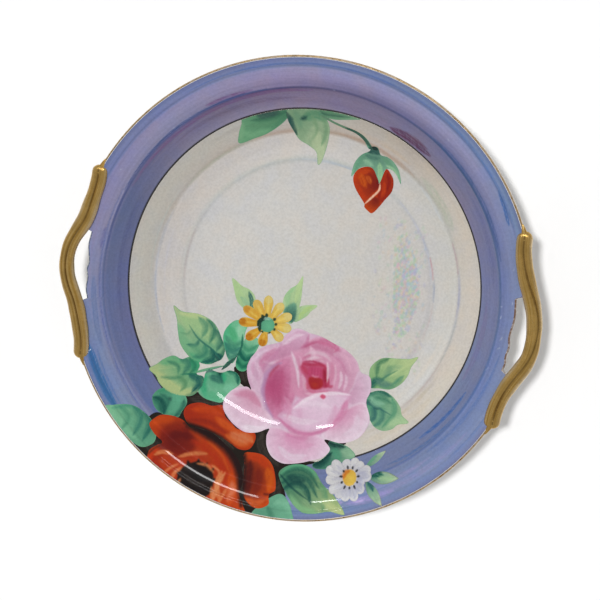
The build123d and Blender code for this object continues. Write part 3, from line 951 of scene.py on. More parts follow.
def paint_border(c):
    """Long hand-banded strokes in the blue lustre, a painted glare highlight on the rim at the lower right,
    and short pale marks.
    """
    for radius, first, last, drift, width, tone, strength in (
            (90.2, 70, 55, 0.6, 3.4, (100, 74, 98), 0.75),
            (92.2, 66, 57, 0.2, 1.6, (108, 82, 104), 0.5),
            (98.7, 108, 160, 0.5, 0.9, (60, 76, 118), 0.75),
            (100.2, 126, 112, -0.6, 1.4, (112, 84, 128), 0.6),
            (97.2, 95, 158, -0.2, 1.7, (120, 92, 132), 0.6),
            (96.2, 92, 150, -1, 1, (134, 126, 148), 0.5), (98.6, 60, 18, 0.8, 2.2, (74, 92, 132), 0.6),
            (99.8, 160, 236, 0, 1.2, (92, 106, 156), 0.5),
            (93.6, 318, 338, 1.6, 1.3, (72, 104, 160), 0.8),
            (96.4, 306, 330, 1.2, 1, (82, 112, 164), 0.6),
            (100.6, 318, 352, 2, 1.6, (96, 118, 166), 0.6),
            (108.4, 204, 224, 0.4, 3.4, (64, 104, 150), 0.85),
            (105.4, 206, 222, 0.8, 1, (84, 112, 160), 0.6),
            (111.6, 200, 224, 0, 1, (122, 130, 168), 0.6),
            (107.4, 27, 36, 1.6, 1.6, (70, 100, 152), 0.8),
            (109.8, 62, 128, 0.2, 0.9, (88, 108, 156), 0.7),
            (109.4, 26, 62, 0.6, 1.6, (92, 118, 162), 0.6),
            (110.4, 30, 60, 0.4, 0.9, (126, 136, 170), 0.5),
            (106.2, 296, 330, 0.6, 2.6, (140, 140, 178), 0.5),
            (103, 290, 318, 0.2, 2.2, (146, 142, 180), 0.5),
            (109.2, 322, 350, 0.4, 1.4, (102, 124, 168), 0.5),
            (104.6, 160, 200, -0.4, 1.2, (138, 132, 164), 0.4),
            (102.4, 186, 206, 0.6, 2.6, (104, 120, 160), 0.5),
            # painted highlight: a pale lilac glare on the rim at the lower right, brightest in its middle
            (107.2, 292, 305, 0.6, 3.4, (150, 142, 190), 0.6),
            (106.6, 286, 291, -0.4, 3, (160, 150, 196), 0.6),
            (107, 294, 297, 0, 2, (184, 168, 212), 0.7),
            (98.4, 100, 178, -0.2, 0.8, (76, 84, 140), 0.4),
            (98.2, 300, 352, 0.3, 0.8, (84, 108, 158), 0.5),
            (108.9, 130, 158, 0, 2.4, (112, 122, 164), 0.4),
            (105.6, 40, 100, 0.5, 2.2, (146, 144, 178), 0.4),
            (91.5, 160, 200, 0.5, 1.6, (92, 98, 138), 0.4),
            (93.6, 100, 140, 0.5, 2, (112, 102, 126), 0.4),
            (94.5, 10, 40, 0.4, 2, (104, 108, 146), 0.4),
            (91, 340, 366, 0.4, 2.4, (124, 118, 154), 0.4),
            (100.8, 172, 178, 0, 1.5, (96, 98, 150), 0.4)):
        c.stroke(arc(radius, first, last, drift), width, tone, strength, hairs=0.9, soft=0.8)
    for x, y, length, angle, strength in (
            (101, -6, 2.4, 60, 0.5), (99, 4, 1.6, 75, 0.5), (98.4, 9, 1.2, 20, 0.45),
            (103.5, 12, 1.4, 100, 0.5), (100.4, -11, 1.8, 40, 0.45), (96.5, -22, 2.6, 50, 0.3),
            (-98, -47, 1, 30, 0.5), (101.4, 28, 1.4, 60, 0.3), (60.5, 84, 1.4, 120, 0.4),
            (-73, 68, 1.2, 30, 0.4), (2, 98.4, 0.9, 80, 0.5), (-95.4, 44, 0.9, 0, 0.4)):
        step = np.array([math.cos(math.radians(angle)), math.sin(math.radians(angle))]) * length / 2
        at = np.array([x, y])
        c.stroke([at - step, at, at + step], 0.55, (176, 184, 200), strength, hairs=0.9, soft=0.4)


def paint_gap_rims(c):
    """Worn brown along the right gap and a darker blue along the left one."""
    for side, tone in (("handle_right", (112, 88, 84)), ("handle_left", (84, 104, 146))):
        edge = turned(np.array(GAP_EDGES[side]) - (0.4, 0), HANDLES[side])
        c.stroke(edge, 1.0, tone, 0.85, hairs=0.8, soft=0.4)


def paint_well(c):
    """Faint rings of warm and cool lustre in the well, and the rainbow patch."""
    for radius, first, last, drift, width, tone, strength in (
            (77, 54, 86, 0.4, 2.2, (172, 146, 130), 0.5), (77, 88, 118, 0, 1.4, (182, 158, 146), 0.45),
            (80.4, 58, 88, 0.6, 2, (186, 170, 152), 0.5), (79, 30, 52, 0.6, 4, (170, 176, 160), 0.5),
            (75.6, 34, 50, 0.4, 1.6, (186, 192, 196), 0.5),
            (76.4, 118, 150, 0.2, 1.2, (160, 168, 152), 0.4),
            (78.2, 140, 196, 0.4, 1, (184, 178, 170), 0.5),
            (75.8, 160, 205, 0.3, 1.1, (182, 184, 190), 0.6),
            (71.8, 164, 200, 0.2, 0.8, (188, 186, 192), 0.4),
            (62.4, 60, 140, 0, 1, (176, 182, 186), 0.5), (62.6, 10, 52, 0.3, 1, (178, 180, 192), 0.6),
            (62.3, 150, 190, 0, 0.8, (178, 172, 170), 0.5),
            (83.6, 96, 132, 0.6, 2.4, (168, 162, 156), 0.4), (85.2, 30, 60, 0, 2, (196, 184, 170), 0.4),
            (83.2, 300, 330, 0.4, 3.2, (198, 188, 172), 0.5),
            (79.2, 302, 336, 0.4, 1.6, (186, 178, 162), 0.6),
            (72, 306, 350, 0.4, 1.8, (204, 198, 188), 0.5),
            (66.6, 320, 372, 0.4, 1.6, (200, 196, 190), 0.5),
            (76.8, 340, 376, 0.4, 1.2, (180, 182, 188), 0.5)):
        c.stroke(arc(radius, first, last, drift), width, tone, strength, hairs=0.8, soft=0.9)
    # crazed rainbow lustre right of the middle, and a faint sprinkle round it
    draw = np.random.default_rng(7)
    rainbow = ((158, 184, 164), (170, 168, 188), (198, 178, 158),
               (158, 178, 188), (192, 166, 174), (172, 192, 160))
    for k in range(700):
        dense = k < 520
        y = draw.normal(8, 11.5) if dense else draw.uniform(-34, 40)
        x = draw.uniform(44.5, 57 - 0.010 * (y - 8) ** 2) if dense else draw.uniform(34, 60)
        x -= 0.12 * (y - 8) + 1.0
        lean = draw.uniform(-0.5, 0.5)
        size = draw.uniform(0.5, 1.5)
        line = [(x - lean, y - size), (x, y), (x + lean, y + size)]
        c.stroke(line, draw.uniform(0.7, 1.7), rainbow[k % 6],
                 draw.uniform(0.35, 0.8) if dense else 0.3, hairs=0.3, soft=0.5)
    # thin rings of oxidised lustre, changing tone as they go
    for radius, first, last, tone in (
            (63.2, 22, 34, (158, 164, 178)), (63.6, 12, 22, (184, 150, 152)),
            (64, 2, 12, (150, 156, 170)), (64, -16, 2, (186, 172, 168)),
            (63.4, -36, -16, (180, 176, 180)), (62, 60, 96, (164, 174, 184)),
            (62, 96, 140, (180, 178, 172)), (76.6, 14, 26, (172, 150, 154)),
            (76.8, -2, 14, (156, 158, 178)), (77, -20, -2, (170, 172, 166)),
            (77.2, -44, -20, (184, 172, 166)), (75.6, 158, 180, (168, 166, 164)),
            (76, 180, 208, (164, 170, 182)), (78.4, 152, 190, (176, 178, 172)),
            (62.2, 162, 190, (172, 164, 162))):
        c.stroke(arc(radius, first, last), 0.75, tone, 0.7, hairs=0.8, soft=0.5)


def paint_lustre(piece, rings, seed, depth, painters):
    """Lay the rings of colour on a lustre coat, streak them and add the strokes."""
    xy = np.array([v.co.xy for v in piece.data.vertices]) / MM
    canvas = Canvas(piece, xy, (0, 0, 0))
    canvas.rgb = ring_colours(rings, xy) * ring_streaks(xy, seed, depth) / 255
    for painter in painters:
        painter(canvas)
    canvas.finish(GLAZE_SHEEN)


# ---------------------------------------------------------------- build the dish
dress(lathe_body("dish_body"), porcelain_material("glazed_porcelain"), "plate_body")

well = lathe_coat("well_glaze", 0.0, PINSTRIPE_R - PINSTRIPE_HALF + LUSTRE_LAP,
                  n_radial=150, segments=720)
paint_lustre(well, WELL_RINGS, seed=3, depth=0.010, painters=[paint_well])
pearl = glaze_material("pearl_lustre", streak=0.015, mottle=0.025, rough_high=0.2)
dress(well, pearl, "well_lustre")

border_steps = 1080
border_edge = edge_radius(np.arange(border_steps) * TURN / border_steps)
border = lathe_coat("border_glaze", PINSTRIPE_R + PINSTRIPE_HALF - LUSTRE_LAP,
                    np.minimum(border_edge - CUT_NOSE, LIP_R - 0.05),
                    n_radial=96, segments=border_steps)
paint_lustre(border, BORDER_RINGS, seed=5, depth=0.03, painters=[paint_border, paint_gap_rims])
blue = glaze_material("blue_lustre", streak=0.05, mottle=0.04, rough_high=0.22)
dress(border, blue, "border_lustre")

stripe = lathe_coat("stripe_line", PINSTRIPE_R - PINSTRIPE_HALF, PINSTRIPE_R + PINSTRIPE_HALF,
                    n_radial=7, segments=720, high=0.24, taper=0.3)
line_black = simple_material("line_black", (0.012, 0.011, 0.012), (0.03, 0.028, 0.03),
                             scale=300.0, smooth=0.2, rough=0.4)
dress(stripe, line_black, "pinstripe")

right, left = HANDLES["handle_right"], HANDLES["handle_left"]
gold_arcs = {"gilt_edge_top": (right + GOLD_STARTS, left - GOLD_STARTS),
             "gilt_edge_bottom": (left + GOLD_STARTS, right + 360 - GOLD_STARTS)}
gilt_line = gold_material("gilt_line", dark=(0.34, 0.22, 0.10), bright=(0.62, 0.44, 0.24),
                          wear=(0.66, 0.60, 0.55))
gilding = handle_gold("gilding")
for node, (first, last) in gold_arcs.items():
    dress(lathe_band(node.replace("edge", "line"), first, last), gilt_line, node)
for node, turn in HANDLES.items():
    dress(rope_handle(node.replace("handle", "rope"), turn), gilding, node)


# ---------------------------------------------------------------- painted flowers
EDGE_R = 112.6             # how far out the flowers reach, and those that stop at the black line
STRIPE_IN_R = 87.55
YELLOW_EYE, WHITE_EYE = (-16.4, -23.4), (39.1, -88.0)
YELLOW_TIPS = [(-17.7, -8.8), (-10.2, -11.4), (-4.8, -16.6), (-4, -23.4), (-7.6, -30), (-17.6, -34.6),
               (-25.8, -32.4), (-30.8, -24.2), (-29.4, -16.6), (-24.2, -12.2)]
WHITE_TIPS = [(34.7, -81.1), (40.1, -79.2), (44, -80.3), (48.4, -81.8), (49.6, -84.6), (47, -88.4),
              (47.4, -92.4), (44.2, -97.2), (38.9, -98.4), (34.7, -97.6), (30.6, -95.9), (27.4, -91.3),
              (26.2, -87), (28.4, -83.4)]
PETAL_ROOT = 0.12          # where a daisy's petal starts, from the eye's middle to its tip


def daisy(centre, tips, width, eye):
    """Separate petals round an eye."""
    loops = []
    for tip in tips:
        start = np.array(centre) + (np.array(tip) - centre) * PETAL_ROOT
        loops.append(petal_loop(start, tip, width))
    ring = np.linspace(0, TURN, 40, endpoint=False)
    loops.append(np.array(centre) + eye * np.column_stack([np.cos(ring), np.sin(ring)]))
    return loops


ground_outline = blob(-50.5, -65.2, -45.6, -62.8, -41.8, -60.8, -36.4, -63, -31, -65.6, -25, -73,
                      -18, -75, -10, -73.5, -3, -73, -2, -84, 8, -86.5, 20, -85.4, 10, -90.6, 8, -98,
                      9.5, -103, 2, -105, -3, -112.5, -16, -113.5, -20, -96, -40, -84, -56, -90,
                      -63, -95, -71, -89, -67, -80, -62, -73.6, -52, -75.6)
SHAPES = {
    "dark_ground": [
        ground_outline,
        blob(-29.6, -47.6, -23.4, -47.6, -20.6, -53, -18, -58.8, -24, -56.2, -27.6, -53),
        blob(20.6, -73.6, 33, -74, 28.4, -77, 26.2, -80.6, 22, -78)],
    "lower_leaves": [
        blob(3.4, -103, 7.3, -101.4, 10.9, -103.4, 14, -107.7, 15.4, -113.5, 4, -116, -5, -113.5,
             -2, -108),
        blob(19, -86.2, 22.7, -83.6, 25.5, -79.5, 24.5, -75, 31, -74.9, 35.5, -75.8, 39.2, -78.6,
             34.8, -81.8, 30.3, -84.4, 25.8, -87.2, 20, -88),
        blob(3.4, -93.3, 5.5, -90.2, 10, -88.2, 15.5, -87.6, 21, -89.2, 25.7, -93, 29.4, -95, 34, -97.6,
             40.4, -104.4, 32.7, -104.6, 26.4, -106.8, 20, -107.7, 15.2, -105.7, 10.5, -101.6,
             6.9, -97.9),
        leaf((45.6, -82), (54.1, -72.4), 1.5, 1.5),
        leaf((48.6, -85.6), (63.5, -82.3), 2.9, 2.8),
        leaf((47.3, -87.4), (57.8, -96.8), 2.5, 2.5)],
    "left_leaves": [
        blob(-60, -88, -66, -90, -76, -84, -86, -74, -82, -72, -74, -71, -67, -74, -61, -79, -59, -84),
        blob(-65.5, -66, -62.7, -62.6, -57, -62.4, -51.8, -64, -49.2, -68, -50.5, -72.5, -51.4, -75,
             -54.5, -75.6, -58.2, -74.4, -61.8, -72.6, -64.5, -69.5),
        blob(-47.7, -54, -47, -49.8, -49.4, -46.9, -52.7, -46.2, -56.2, -47.8, -60.5, -46.6,
             -64.5, -48.6, -67.3, -51.4, -70.3, -54, -66.6, -57, -63.8, -60.7, -59, -63.9, -53.6, -65,
             -48, -64.8, -44.7, -61.4, -43.3, -57.7, -44.4, -54.9),
        blob(-43.6, -53.2, -41.8, -50.9, -38.2, -51.6, -35, -51.4, -31.8, -49.8, -28.2, -50.3,
             -26, -52.7, -25.5, -55.7, -28.2, -58.8, -30, -62.3, -32.7, -66, -37.3, -66, -41.8, -65,
             -45.2, -62.3, -43.8, -58.6),
        blob(-64.8, -22, -60, -24.3, -51.8, -24.2, -45.5, -26, -41.6, -29, -38.4, -34, -35.7, -39.5,
             -36.4, -44.4, -39, -46.6, -42.7, -48.6, -47.3, -48.4, -52.7, -46.4, -58.2, -40.8,
             -60.8, -34, -62.2, -28.4),
        blob(-30.9, -23.6, -34.2, -25.3, -37, -29.5, -37.6, -34, -36, -38.8, -34, -43.4, -31, -46,
             -28.8, -41, -27, -35, -26.8, -29.5, -26.2, -24.6),
        blob(-25.5, -31, -21.8, -30.8, -18.6, -32.6, -20, -38, -22.2, -42, -23.2, -47.9, -26.4, -49.2,
             -28.9, -47.4, -29.2, -43.2, -28, -37.7),
        leaf((-51, -54.4), (-33.4, -47.4), 0.7, 0.7),
        leaf((-36, -50.4), (-29.6, -42), 1, 1)],
    "right_leaves": [
        blob(40, -45.4, 38.6, -40.5, 38.3, -36, 40.7, -32, 44.5, -29.4, 51, -28.6, 57, -27.6, 61.2, -26,
             58.6, -31.4, 57.6, -36, 54.8, -40.8, 50, -44.4, 44.5, -45),
        blob(36, -53.3, 37.5, -51, 41, -47.5, 46.4, -45.8, 51.8, -47.5, 56.4, -51.2, 58.4, -55,
             62.4, -57.6, 57.3, -59.8, 54.6, -62.6, 50, -64.4, 45.3, -63.4, 41.6, -59.6, 40.2, -56)],
    "yellow_daisy_leaves": [
        blob(-24, -17, -28, -18, -33, -14.6, -35.6, -9, -37.4, -3.2, -32, -6.2, -27.6, -7.6,
             -24.4, -11),
        blob(-5.8, -20.8, -9.4, -16, -10.2, -9, -8, -4, -4.4, -0.6, -2.2, 4, -1.6, -2, -1.4, -8,
             -2, -14, -3.4, -19.6),
        blob(-3, -19.6, -2.2, -13, 0.4, -10.6, 7.2, -9.4, 4.4, -13, 2.4, -16)],
    "top_leaves": [
        blob(-41.4, 78.5, -31, 83, -20, 87.4, -19.4, 84.4, -20.8, 80.6, -24.2, 76.4, -30, 71.4, -36, 68,
             -43, 64.4, -43.6, 69, -42.6, 74),
        blob(-21, 85, -20.4, 80, -17.3, 75, -14, 71, -9.2, 68.8, -5, 66, -3.6, 60.2, -1.9, 61.6,
             -0.4, 68, 0.5, 75, 0.3, 80, -2.6, 84.8, -8, 88, -16, 88),
        blob(-16, 88.4, -8, 85.2, -4, 84.6, 2, 83.8, 8, 84.6, 16.5, 86.4, 16, 88.4, 0, 89.4)],
    "bud_stem": [
        blob(21.4, 71.2, 17.2, 68.2, 14.5, 63.6, 13.8, 57.4, 15, 58.4, 17.2, 61.6, 20, 63, 23.6, 63,
             26, 59.4, 28.3, 56, 29.4, 60, 30.4, 63.4, 33.2, 63.8, 36.2, 61.6, 39, 57.4, 37.4, 63.4,
             34.4, 67.4, 30.8, 69.6, 27.2, 70.2, 25.2, 73.6, 22, 73.4),
        blob(22.4, 73.2, 18.8, 77.4, 14, 79.9, 8, 81.3, 2, 83, -5, 86, -4, 84.4, 2, 81.9, 8, 80.2,
             13.6, 78.7, 18, 75.9, 20.8, 72.2)],
    "bud": [
        blob(22.3, 45, 17, 51.4, 15, 56.5, 16.4, 60.6, 20, 62.9, 24, 62.7, 27.4, 57.6, 28.4, 56,
             30.6, 63.5, 33.6, 61.2, 35.2, 58, 35, 53, 32, 48, 29.9, 44.4, 27, 40.8, 24.4, 41.8,
             22.6, 43.4)],
    "poppy": [
        blob(-49.6, -71.4, -47.7, -68.8, -42.7, -67.4, -37, -68.2, -31.8, -67.4, -29.6, -72, -25.5, -75,
             -22, -77.2, -16, -76.8, -12.9, -78.2, -12.3, -81.6, -14.2, -85.4, -19, -86, -24.5, -83.7,
             -30.9, -81.2, -39, -79.2, -45.5, -77.8, -48.8, -74.6),
        blob(-63.4, -78.2, -60, -74.8, -54.5, -74.6, -49, -76.2, -45, -79, -41.8, -79.2, -33.6, -80.7,
             -26.4, -84.6, -19, -89.6, -14.5, -95, -12.7, -99.5, -13.2, -105, -10.5, -109, -10, -116,
             -40, -120, -66, -102, -61.6, -96, -60.8, -91.2, -57.8, -88.4, -55.4, -86.6, -59.6, -83.6,
             -62.6, -80.6),
        blob(-15.9, -87.6, -11.8, -86.5, -6.4, -87, -0.9, -90.3, 2.7, -95.9, 3.8, -100.3, 1.4, -102.8,
             2.2, -106.8, -0.7, -109.2, -4.5, -109.7, -9, -107.4, -11.8, -103.2, -12.7, -98.6,
             -14.2, -92.6)],
    "rose": [
        blob(-1, -22.6, 6, -23.8, 12, -24.6, 19, -27, 25, -29, 31, -33.4, 34, -38.6, 39, -40.4,
             40.4, -47, 39.2, -53, 42.6, -61, 40.4, -68.4, 36, -72.4, 30, -74.6, 22, -74.6, 25.8, -78.4,
             23, -82.6, 17, -85.4, 11, -87.6, 4, -88.8, -2, -87, -5.8, -83, -7.2, -78, -6.8, -74.6,
             -12, -77.2, -18, -78, -23, -76.2, -27.6, -73, -31.4, -68.6, -31.6, -63.4, -28, -58.6,
             -22, -56.4, -19.4, -57.4, -22, -52, -23.2, -46, -21, -40, -16.4, -34.6, -8.8, -31,
             -6, -26.6)],
    "white_daisy": daisy(WHITE_EYE, WHITE_TIPS, 4.7, 4.4),
    "yellow_daisy": daisy(YELLOW_EYE, YELLOW_TIPS, 4.9, 4.6),
}
LAYER = {"dark_ground": 0.05, "lower_leaves": 0.08, "left_leaves": 0.08, "right_leaves": 0.08,
         "yellow_daisy_leaves": 0.08, "top_leaves": 0.08, "bud_stem": 0.08, "bud": 0.12, "poppy": 0.12,
         "rose": 0.16, "white_daisy": 0.20, "yellow_daisy": 0.20}
GROUND = {"dark_ground": (40, 36, 33), "bud": (160, 56, 20), "poppy": (170, 58, 24),
          "rose": (197, 165, 186), "white_daisy": (190, 190, 192), "yellow_daisy": (202, 180, 100),
          "yellow_daisy_leaves": (164, 188, 144), "right_leaves": (128, 166, 128),
          "left_leaves": (100, 152, 118), "top_leaves": (112, 154, 126)}


def paint_rose(c):
    """A full-blown pink rose: outer petals first, then the cup, its shadow and the crimson heart."""
    # outer left, upper left, top and right petals
    c.area((-8, -29.5, -16, -34, -21.5, -40, -24.5, -48, -22, -56, -15, -63, -10, -69, -4, -70, -8, -50,
           -6, -40), (176, 128, 156), (196, 168, 186), (-6, -50), rim=(205, 182, 198))
    c.area((-9, -33, -5.5, -27, 0, -22.4, 6, -23.8, 5, -30, 0, -36, -6, -40, -13, -43, -17, -40),
           (178, 122, 150), (196, 160, 182), (-4, -42), rim=(208, 186, 200), rim_width=1.4)
    c.area((2.5, -31, 6, -27.5, 10, -25, 15, -24.8, 20, -27.5, 22, -31, 18, -35, 10, -34, 4, -36),
           (168, 98, 128), (194, 142, 166), (11, -40), rim=(198, 152, 172), rim_width=1.1)
    c.area((19, -29, 26, -29, 31, -33.5, 33.5, -38.5, 34, -45, 31, -51, 26, -54, 20, -50, 21, -40),
           (178, 118, 146), (196, 156, 176), (14, -45), rim=(200, 168, 184))
    c.area((33, -38.5, 38.5, -40.5, 40, -47, 38.5, -54, 33, -56, 28, -54, 31, -47), (186, 138, 164),
           (199, 176, 192), (22, -50), rim=(206, 186, 200))
    c.area((38, -53.5, 42.3, -60, 40.5, -68, 35, -73, 26, -75, 20, -73, 26, -65, 30, -58),
           (190, 132, 160), (213, 198, 209), (24, -57), rim=(212, 200, 209), rim_width=1)
    # lower petals
    c.area((-31.5, -63, -28, -58.5, -21, -56.6, -15, -59, -11, -64, -6, -70, -7, -75, -12, -77.3,
           -17, -78, -22, -76, -27, -73, -31, -69), (188, 134, 158), (214, 196, 209), (-17, -60),
           rim=(214, 198, 209), rim_width=1)
    c.stroke((-27, -61, -20, -60.4, -13, -63), 3.4, (188, 128, 154), 0.7, hairs=0.7, soft=1.6)
    c.area((-7.2, -74, -8, -79, -5, -84.5, -1, -87.6, 5.5, -89, 12, -87.4, 19, -85, 25, -83, 27, -79,
           24, -75, 15.5, -73, 7, -75, -2, -73), (196, 138, 168), (213, 196, 209), (7, -73.6),
           rim=(212, 200, 209), rim_width=1)
    c.stroke((2, -75.6, 7, -77.4, 13, -76), 3.6, (192, 124, 158), 0.7, hairs=0.7, soft=1.6)
    # the big petal in shadow, with a lilac edge
    c.area((-10, -43, -6, -39, -1, -37.5, 2, -46, 3.5, -53, 2.5, -60, 0, -66, -4.5, -70, -10, -65,
           -13, -58, -13.2, -50), (164, 74, 110), (194, 136, 164), (-9.5, -54), hairs=0.6, soft=1.4)
    c.strokes(
        ((-6, -41, -10.5, -45, -13.2, -50, -13.5, -58, -11, -64, -6, -69), 2.6, (166, 130, 164), 0.75),
        ((-7, -42, -10, -46, -11.5, -50), 1.3, (158, 60, 84), 0.6),
        ((-6, -44, -7, -53, -5, -63), 6.5, (162, 72, 108), 0.5, 0.6, 2.4),
        ((0, -42, 1.4, -50, 1, -58), 3.4, (194, 134, 160), 0.6, 0.8, 1.6),
        ((-10, -34, -15, -40, -16.4, -47), 3.4, (182, 112, 144), 0.6, 0.8, 1.2),
        ((-18.4, -38, -21.4, -45, -20.6, -52), 2.6, (204, 178, 196), 0.75, 0.8),
        ((-19.4, -40, -20.6, -45, -19.4, -50), 1.4, (190, 138, 166), 0.6, 0.8),
        ((-20, -50, -15.5, -59, -10.5, -67), 3.2, (200, 172, 190), 0.7, 0.8),
        ((-21.5, -44, -17, -38, -10, -33.5), 1.6, (208, 186, 202), 0.6),
        ((-7.5, -31, -10, -38, -14, -44, -16, -52), 1.5, (178, 118, 150), 0.55))
    # cup: the pale front petals and their darker folds
    c.area((2.5, -62, 6, -57, 12, -54, 19, -51.5, 27, -50.5, 31, -51.5, 29, -59, 27, -65, 22, -70.5,
           14, -74, 6, -73.5, -1, -71, -4, -67.5), (206, 182, 198), (200, 162, 186), (17, -57),
           rim=(194, 142, 170), rim_width=2.2)
    c.strokes(
        ((-1, -61, 1, -66, 3, -70), 4, (192, 136, 164), 0.6, 0.8, 1.6),
        ((5, -60.4, 6.6, -64, 8, -69), 3, (196, 150, 176), 0.5, 0.8, 1.4),
        ((24, -58, 25, -62, 22, -67), 4, (196, 148, 174), 0.6, 0.8, 1.4),
        ((29.5, -54, 28, -61, 24.5, -68), 3.4, (190, 122, 154), 0.75, 0.8),
        ((33.5, -58, 30, -64, 24, -70), 2, (196, 146, 172), 0.6, 0.8),
        ((-4, -68.5, 1, -71.5, 6.5, -73.8, 13, -73.8, 20, -71, 25, -67), 1.7, (182, 106, 142), 0.75),
        ((2, -73, 8, -75.6, 14, -75), 1.3, (190, 128, 158), 0.6),
        ((3, -63, 8, -60, 14, -58.5, 22, -59), 3, (213, 194, 207), 0.6, 0.8),
        ((-1, -67, 8, -68.5, 17, -67), 3, (212, 194, 206), 0.6, 0.8))
    # heart: pale folds round a crimson middle
    c.area((-2, -36, 3, -32.6, 10, -31, 18, -32.6, 23, -37, 25, -45, 23, -51.4, 15, -54.4, 8, -56.5,
           3, -56, 0, -47), (186, 118, 146), (194, 142, 166), (10, -46), hairs=0.5, soft=1.6)
    c.strokes(
        ((4.6, -35.6, 9, -33.2, 15, -33.4, 18.4, -36), 1.8, (202, 172, 186), 0.8, 0.6, 0.6),
        ((3.6, -37.6, 7, -34.8, 10, -34.6), 1.1, (176, 104, 132), 0.7, 0.4),
        ((6.4, -37.2, 11, -35.4, 16.4, -37), 1.7, (204, 176, 188), 0.75, 0.6, 0.6),
        ((10.6, -36.6, 14, -35.8, 17, -37.8), 0.8, (184, 116, 142), 0.6))
    c.area((3.2, -41.6, 4.6, -38.4, 9, -38.8, 13.4, -37.8, 16.8, -38.8, 18.6, -44, 19.4, -48.6,
           16, -50.6, 12, -52, 8.6, -51, 7.4, -47.4, 5, -44.8), (168, 70, 98), (178, 88, 116),
           (11, -44), hairs=0.4, soft=1.2)
    c.soften(1)
    c.strokes(
        ((4, -39.8, 8.6, -39.4, 13, -38.6, 17, -39.8), 1.6, (162, 56, 82), 0.85, 0.4, 0.5),
        ((4.2, -40.6, 6, -42.4, 8.2, -44.6), 2.2, (168, 62, 88), 0.8, 0.5, 0.7))
    c.area((8.4, -40.8, 14.8, -40.6, 15.2, -45.4, 8.8, -45.6), (178, 78, 112), (172, 66, 98), hairs=0.6,
           soft=0.7)
    for x in (9.4, 10.9, 12.4, 13.9):
        c.stroke(((x, -40.6), (x + 0.3, -43), (x + 0.2, -45.4)), 0.7, (158, 54, 86), 0.6, hairs=0.4)
    c.area((14.8, -40.4, 17, -39.8, 18.4, -44, 19.2, -48.8, 16, -49.4, 15.4, -45), (150, 46, 70),
           (162, 58, 84), hairs=0.5, soft=0.6)
    c.area((8.8, -46, 15, -45.6, 16, -49.4, 13, -51.4, 10, -50.8), (146, 38, 44), (154, 48, 54),
           (12, -50), hairs=0.5, soft=0.9)
    c.area((10, -48.2, 14, -48, 14.2, -50, 11.6, -50.8), (158, 52, 44), (152, 44, 50), hairs=0.3,
           soft=1)
    c.strokes(
        ((15.6, -41, 17, -44.6, 18, -49), 1.4, (140, 36, 56), 0.8, 0.5),
        ((4.6, -38.6, 10.4, -37.6, 16.6, -38.8), 0.9, (152, 48, 74), 0.7, 0.5),
        ((9.8, -44.4, 11.6, -45.2, 13.6, -44.6), 0.9, (196, 124, 146), 0.75, 0.4, 0.6),
        ((7.4, -49, 8.4, -51, 9.8, -52), 1.4, (182, 84, 106), 0.8, 0.5),
        ((5.2, -45, 6.6, -49, 7.8, -53.4), 2, (198, 150, 170), 0.75, 0.6, 0.6),
        ((9, -52.6, 13.6, -53, 19.6, -51), 1.3, (186, 98, 126), 0.8, 0.5),
        ((8, -54.4, 12, -54, 16, -52.6), 1.2, (206, 168, 184), 0.7, 0.5),
        ((17.4, -46.8, 19.6, -48.6, 21.6, -48), 1.5, (166, 66, 92), 0.8, 0.5),
        ((16.6, -36.4, 17.6, -41, 18.2, -47), 1.1, (212, 186, 198), 0.85, 0.4),
        ((18.8, -36.6, 20, -41, 20, -47), 1.6, (188, 122, 148), 0.7, 0.5),
        ((20.6, -36.8, 21.8, -42, 21.6, -48.6), 1, (204, 168, 184), 0.65, 0.5),
        ((24, -40, 25, -44, 24.4, -49), 1.5, (208, 182, 196), 0.8, 0.6),
        ((26.6, -40.6, 27.6, -44.6, 27, -49.6), 1.5, (206, 178, 194), 0.7, 0.6),
        ((-2.2, -34.6, 0, -38.6, 2.6, -44.6, 4.4, -52), 1.5, (206, 184, 197), 0.9, 0.5, 0.7),
        ((2.4, -36.2, 3.6, -39, 3.4, -41), 0.9, (204, 160, 180), 0.7),
        ((19, -33, 24, -36, 27.5, -42), 1.2, (180, 116, 146), 0.5))
    c.stroke((3.4, -31.4, 7, -28.6, 11, -27), 1.6, (168, 84, 116), 0.8, hairs=0.5, soft=0.5, lean=-1)
    c.strokes(
        ((19, -31.4, 20.6, -29.6, 21, -28), 1, (170, 92, 122), 0.6),
        ((4, -62.5, 9.5, -57, 16, -53.4, 24, -51.4, 31, -51), 1.9, (216, 200, 210), 0.9),
        ((-2, -58, 1.5, -62, 1, -68), 1.8, (196, 140, 166), 0.6))
    c.area((15.6, -54.4, 17, -53.2, 18.7, -54.2, 17.4, -55.6), (186, 84, 110), soft=0.6, hairs=0.4)
    # folds along the top
    c.strokes(
        ((10, -27.5, 16, -27, 22, -30), 3.6, (180, 100, 132), 0.7, 0.7, 1.3),
        ((7, -30.6, 9, -34, 8.6, -37), 2.4, (206, 176, 190), 0.65, 0.9, 0.8),
        ((-6.6, -32, -2, -27, 2.6, -25), 2.2, (214, 194, 206), 0.65, 0.8, 0.9),
        ((5.4, -24.6, 4.8, -29, 1.6, -33), 1.5, (170, 98, 132), 0.6, 0.6, 0.8),
        ((22, -31, 26.6, -34, 29.6, -39.6), 2.2, (202, 158, 178), 0.6, 0.8, 0.9),
        ((-19.6, -43, -15.6, -49, -15, -57), 2.2, (206, 178, 196), 0.6, 0.9, 1))
    # shading and light on the lower petals
    c.strokes(
        ((-25, -60, -19, -60.5, -13, -65), 3.6, (184, 124, 148), 0.6, 0.9),
        ((-29, -65, -23, -69.5, -16, -72.5), 3.2, (206, 178, 196), 0.6, 0.9),
        ((-20, -75.5, -14, -75.8, -9, -74.5), 2.4, (219, 206, 215), 0.7, 0.7),
        ((2, -77.5, 9, -79.5, 17, -78), 4, (199, 146, 174), 0.6, 0.9),
        ((0, -82, 7, -85.5, 15, -83.5), 3, (213, 196, 209), 0.6, 0.8),
        ((36, -60, 36.5, -66, 31, -71), 3.4, (208, 190, 203), 0.6, 0.8, 1.4))
    c.soften(1)


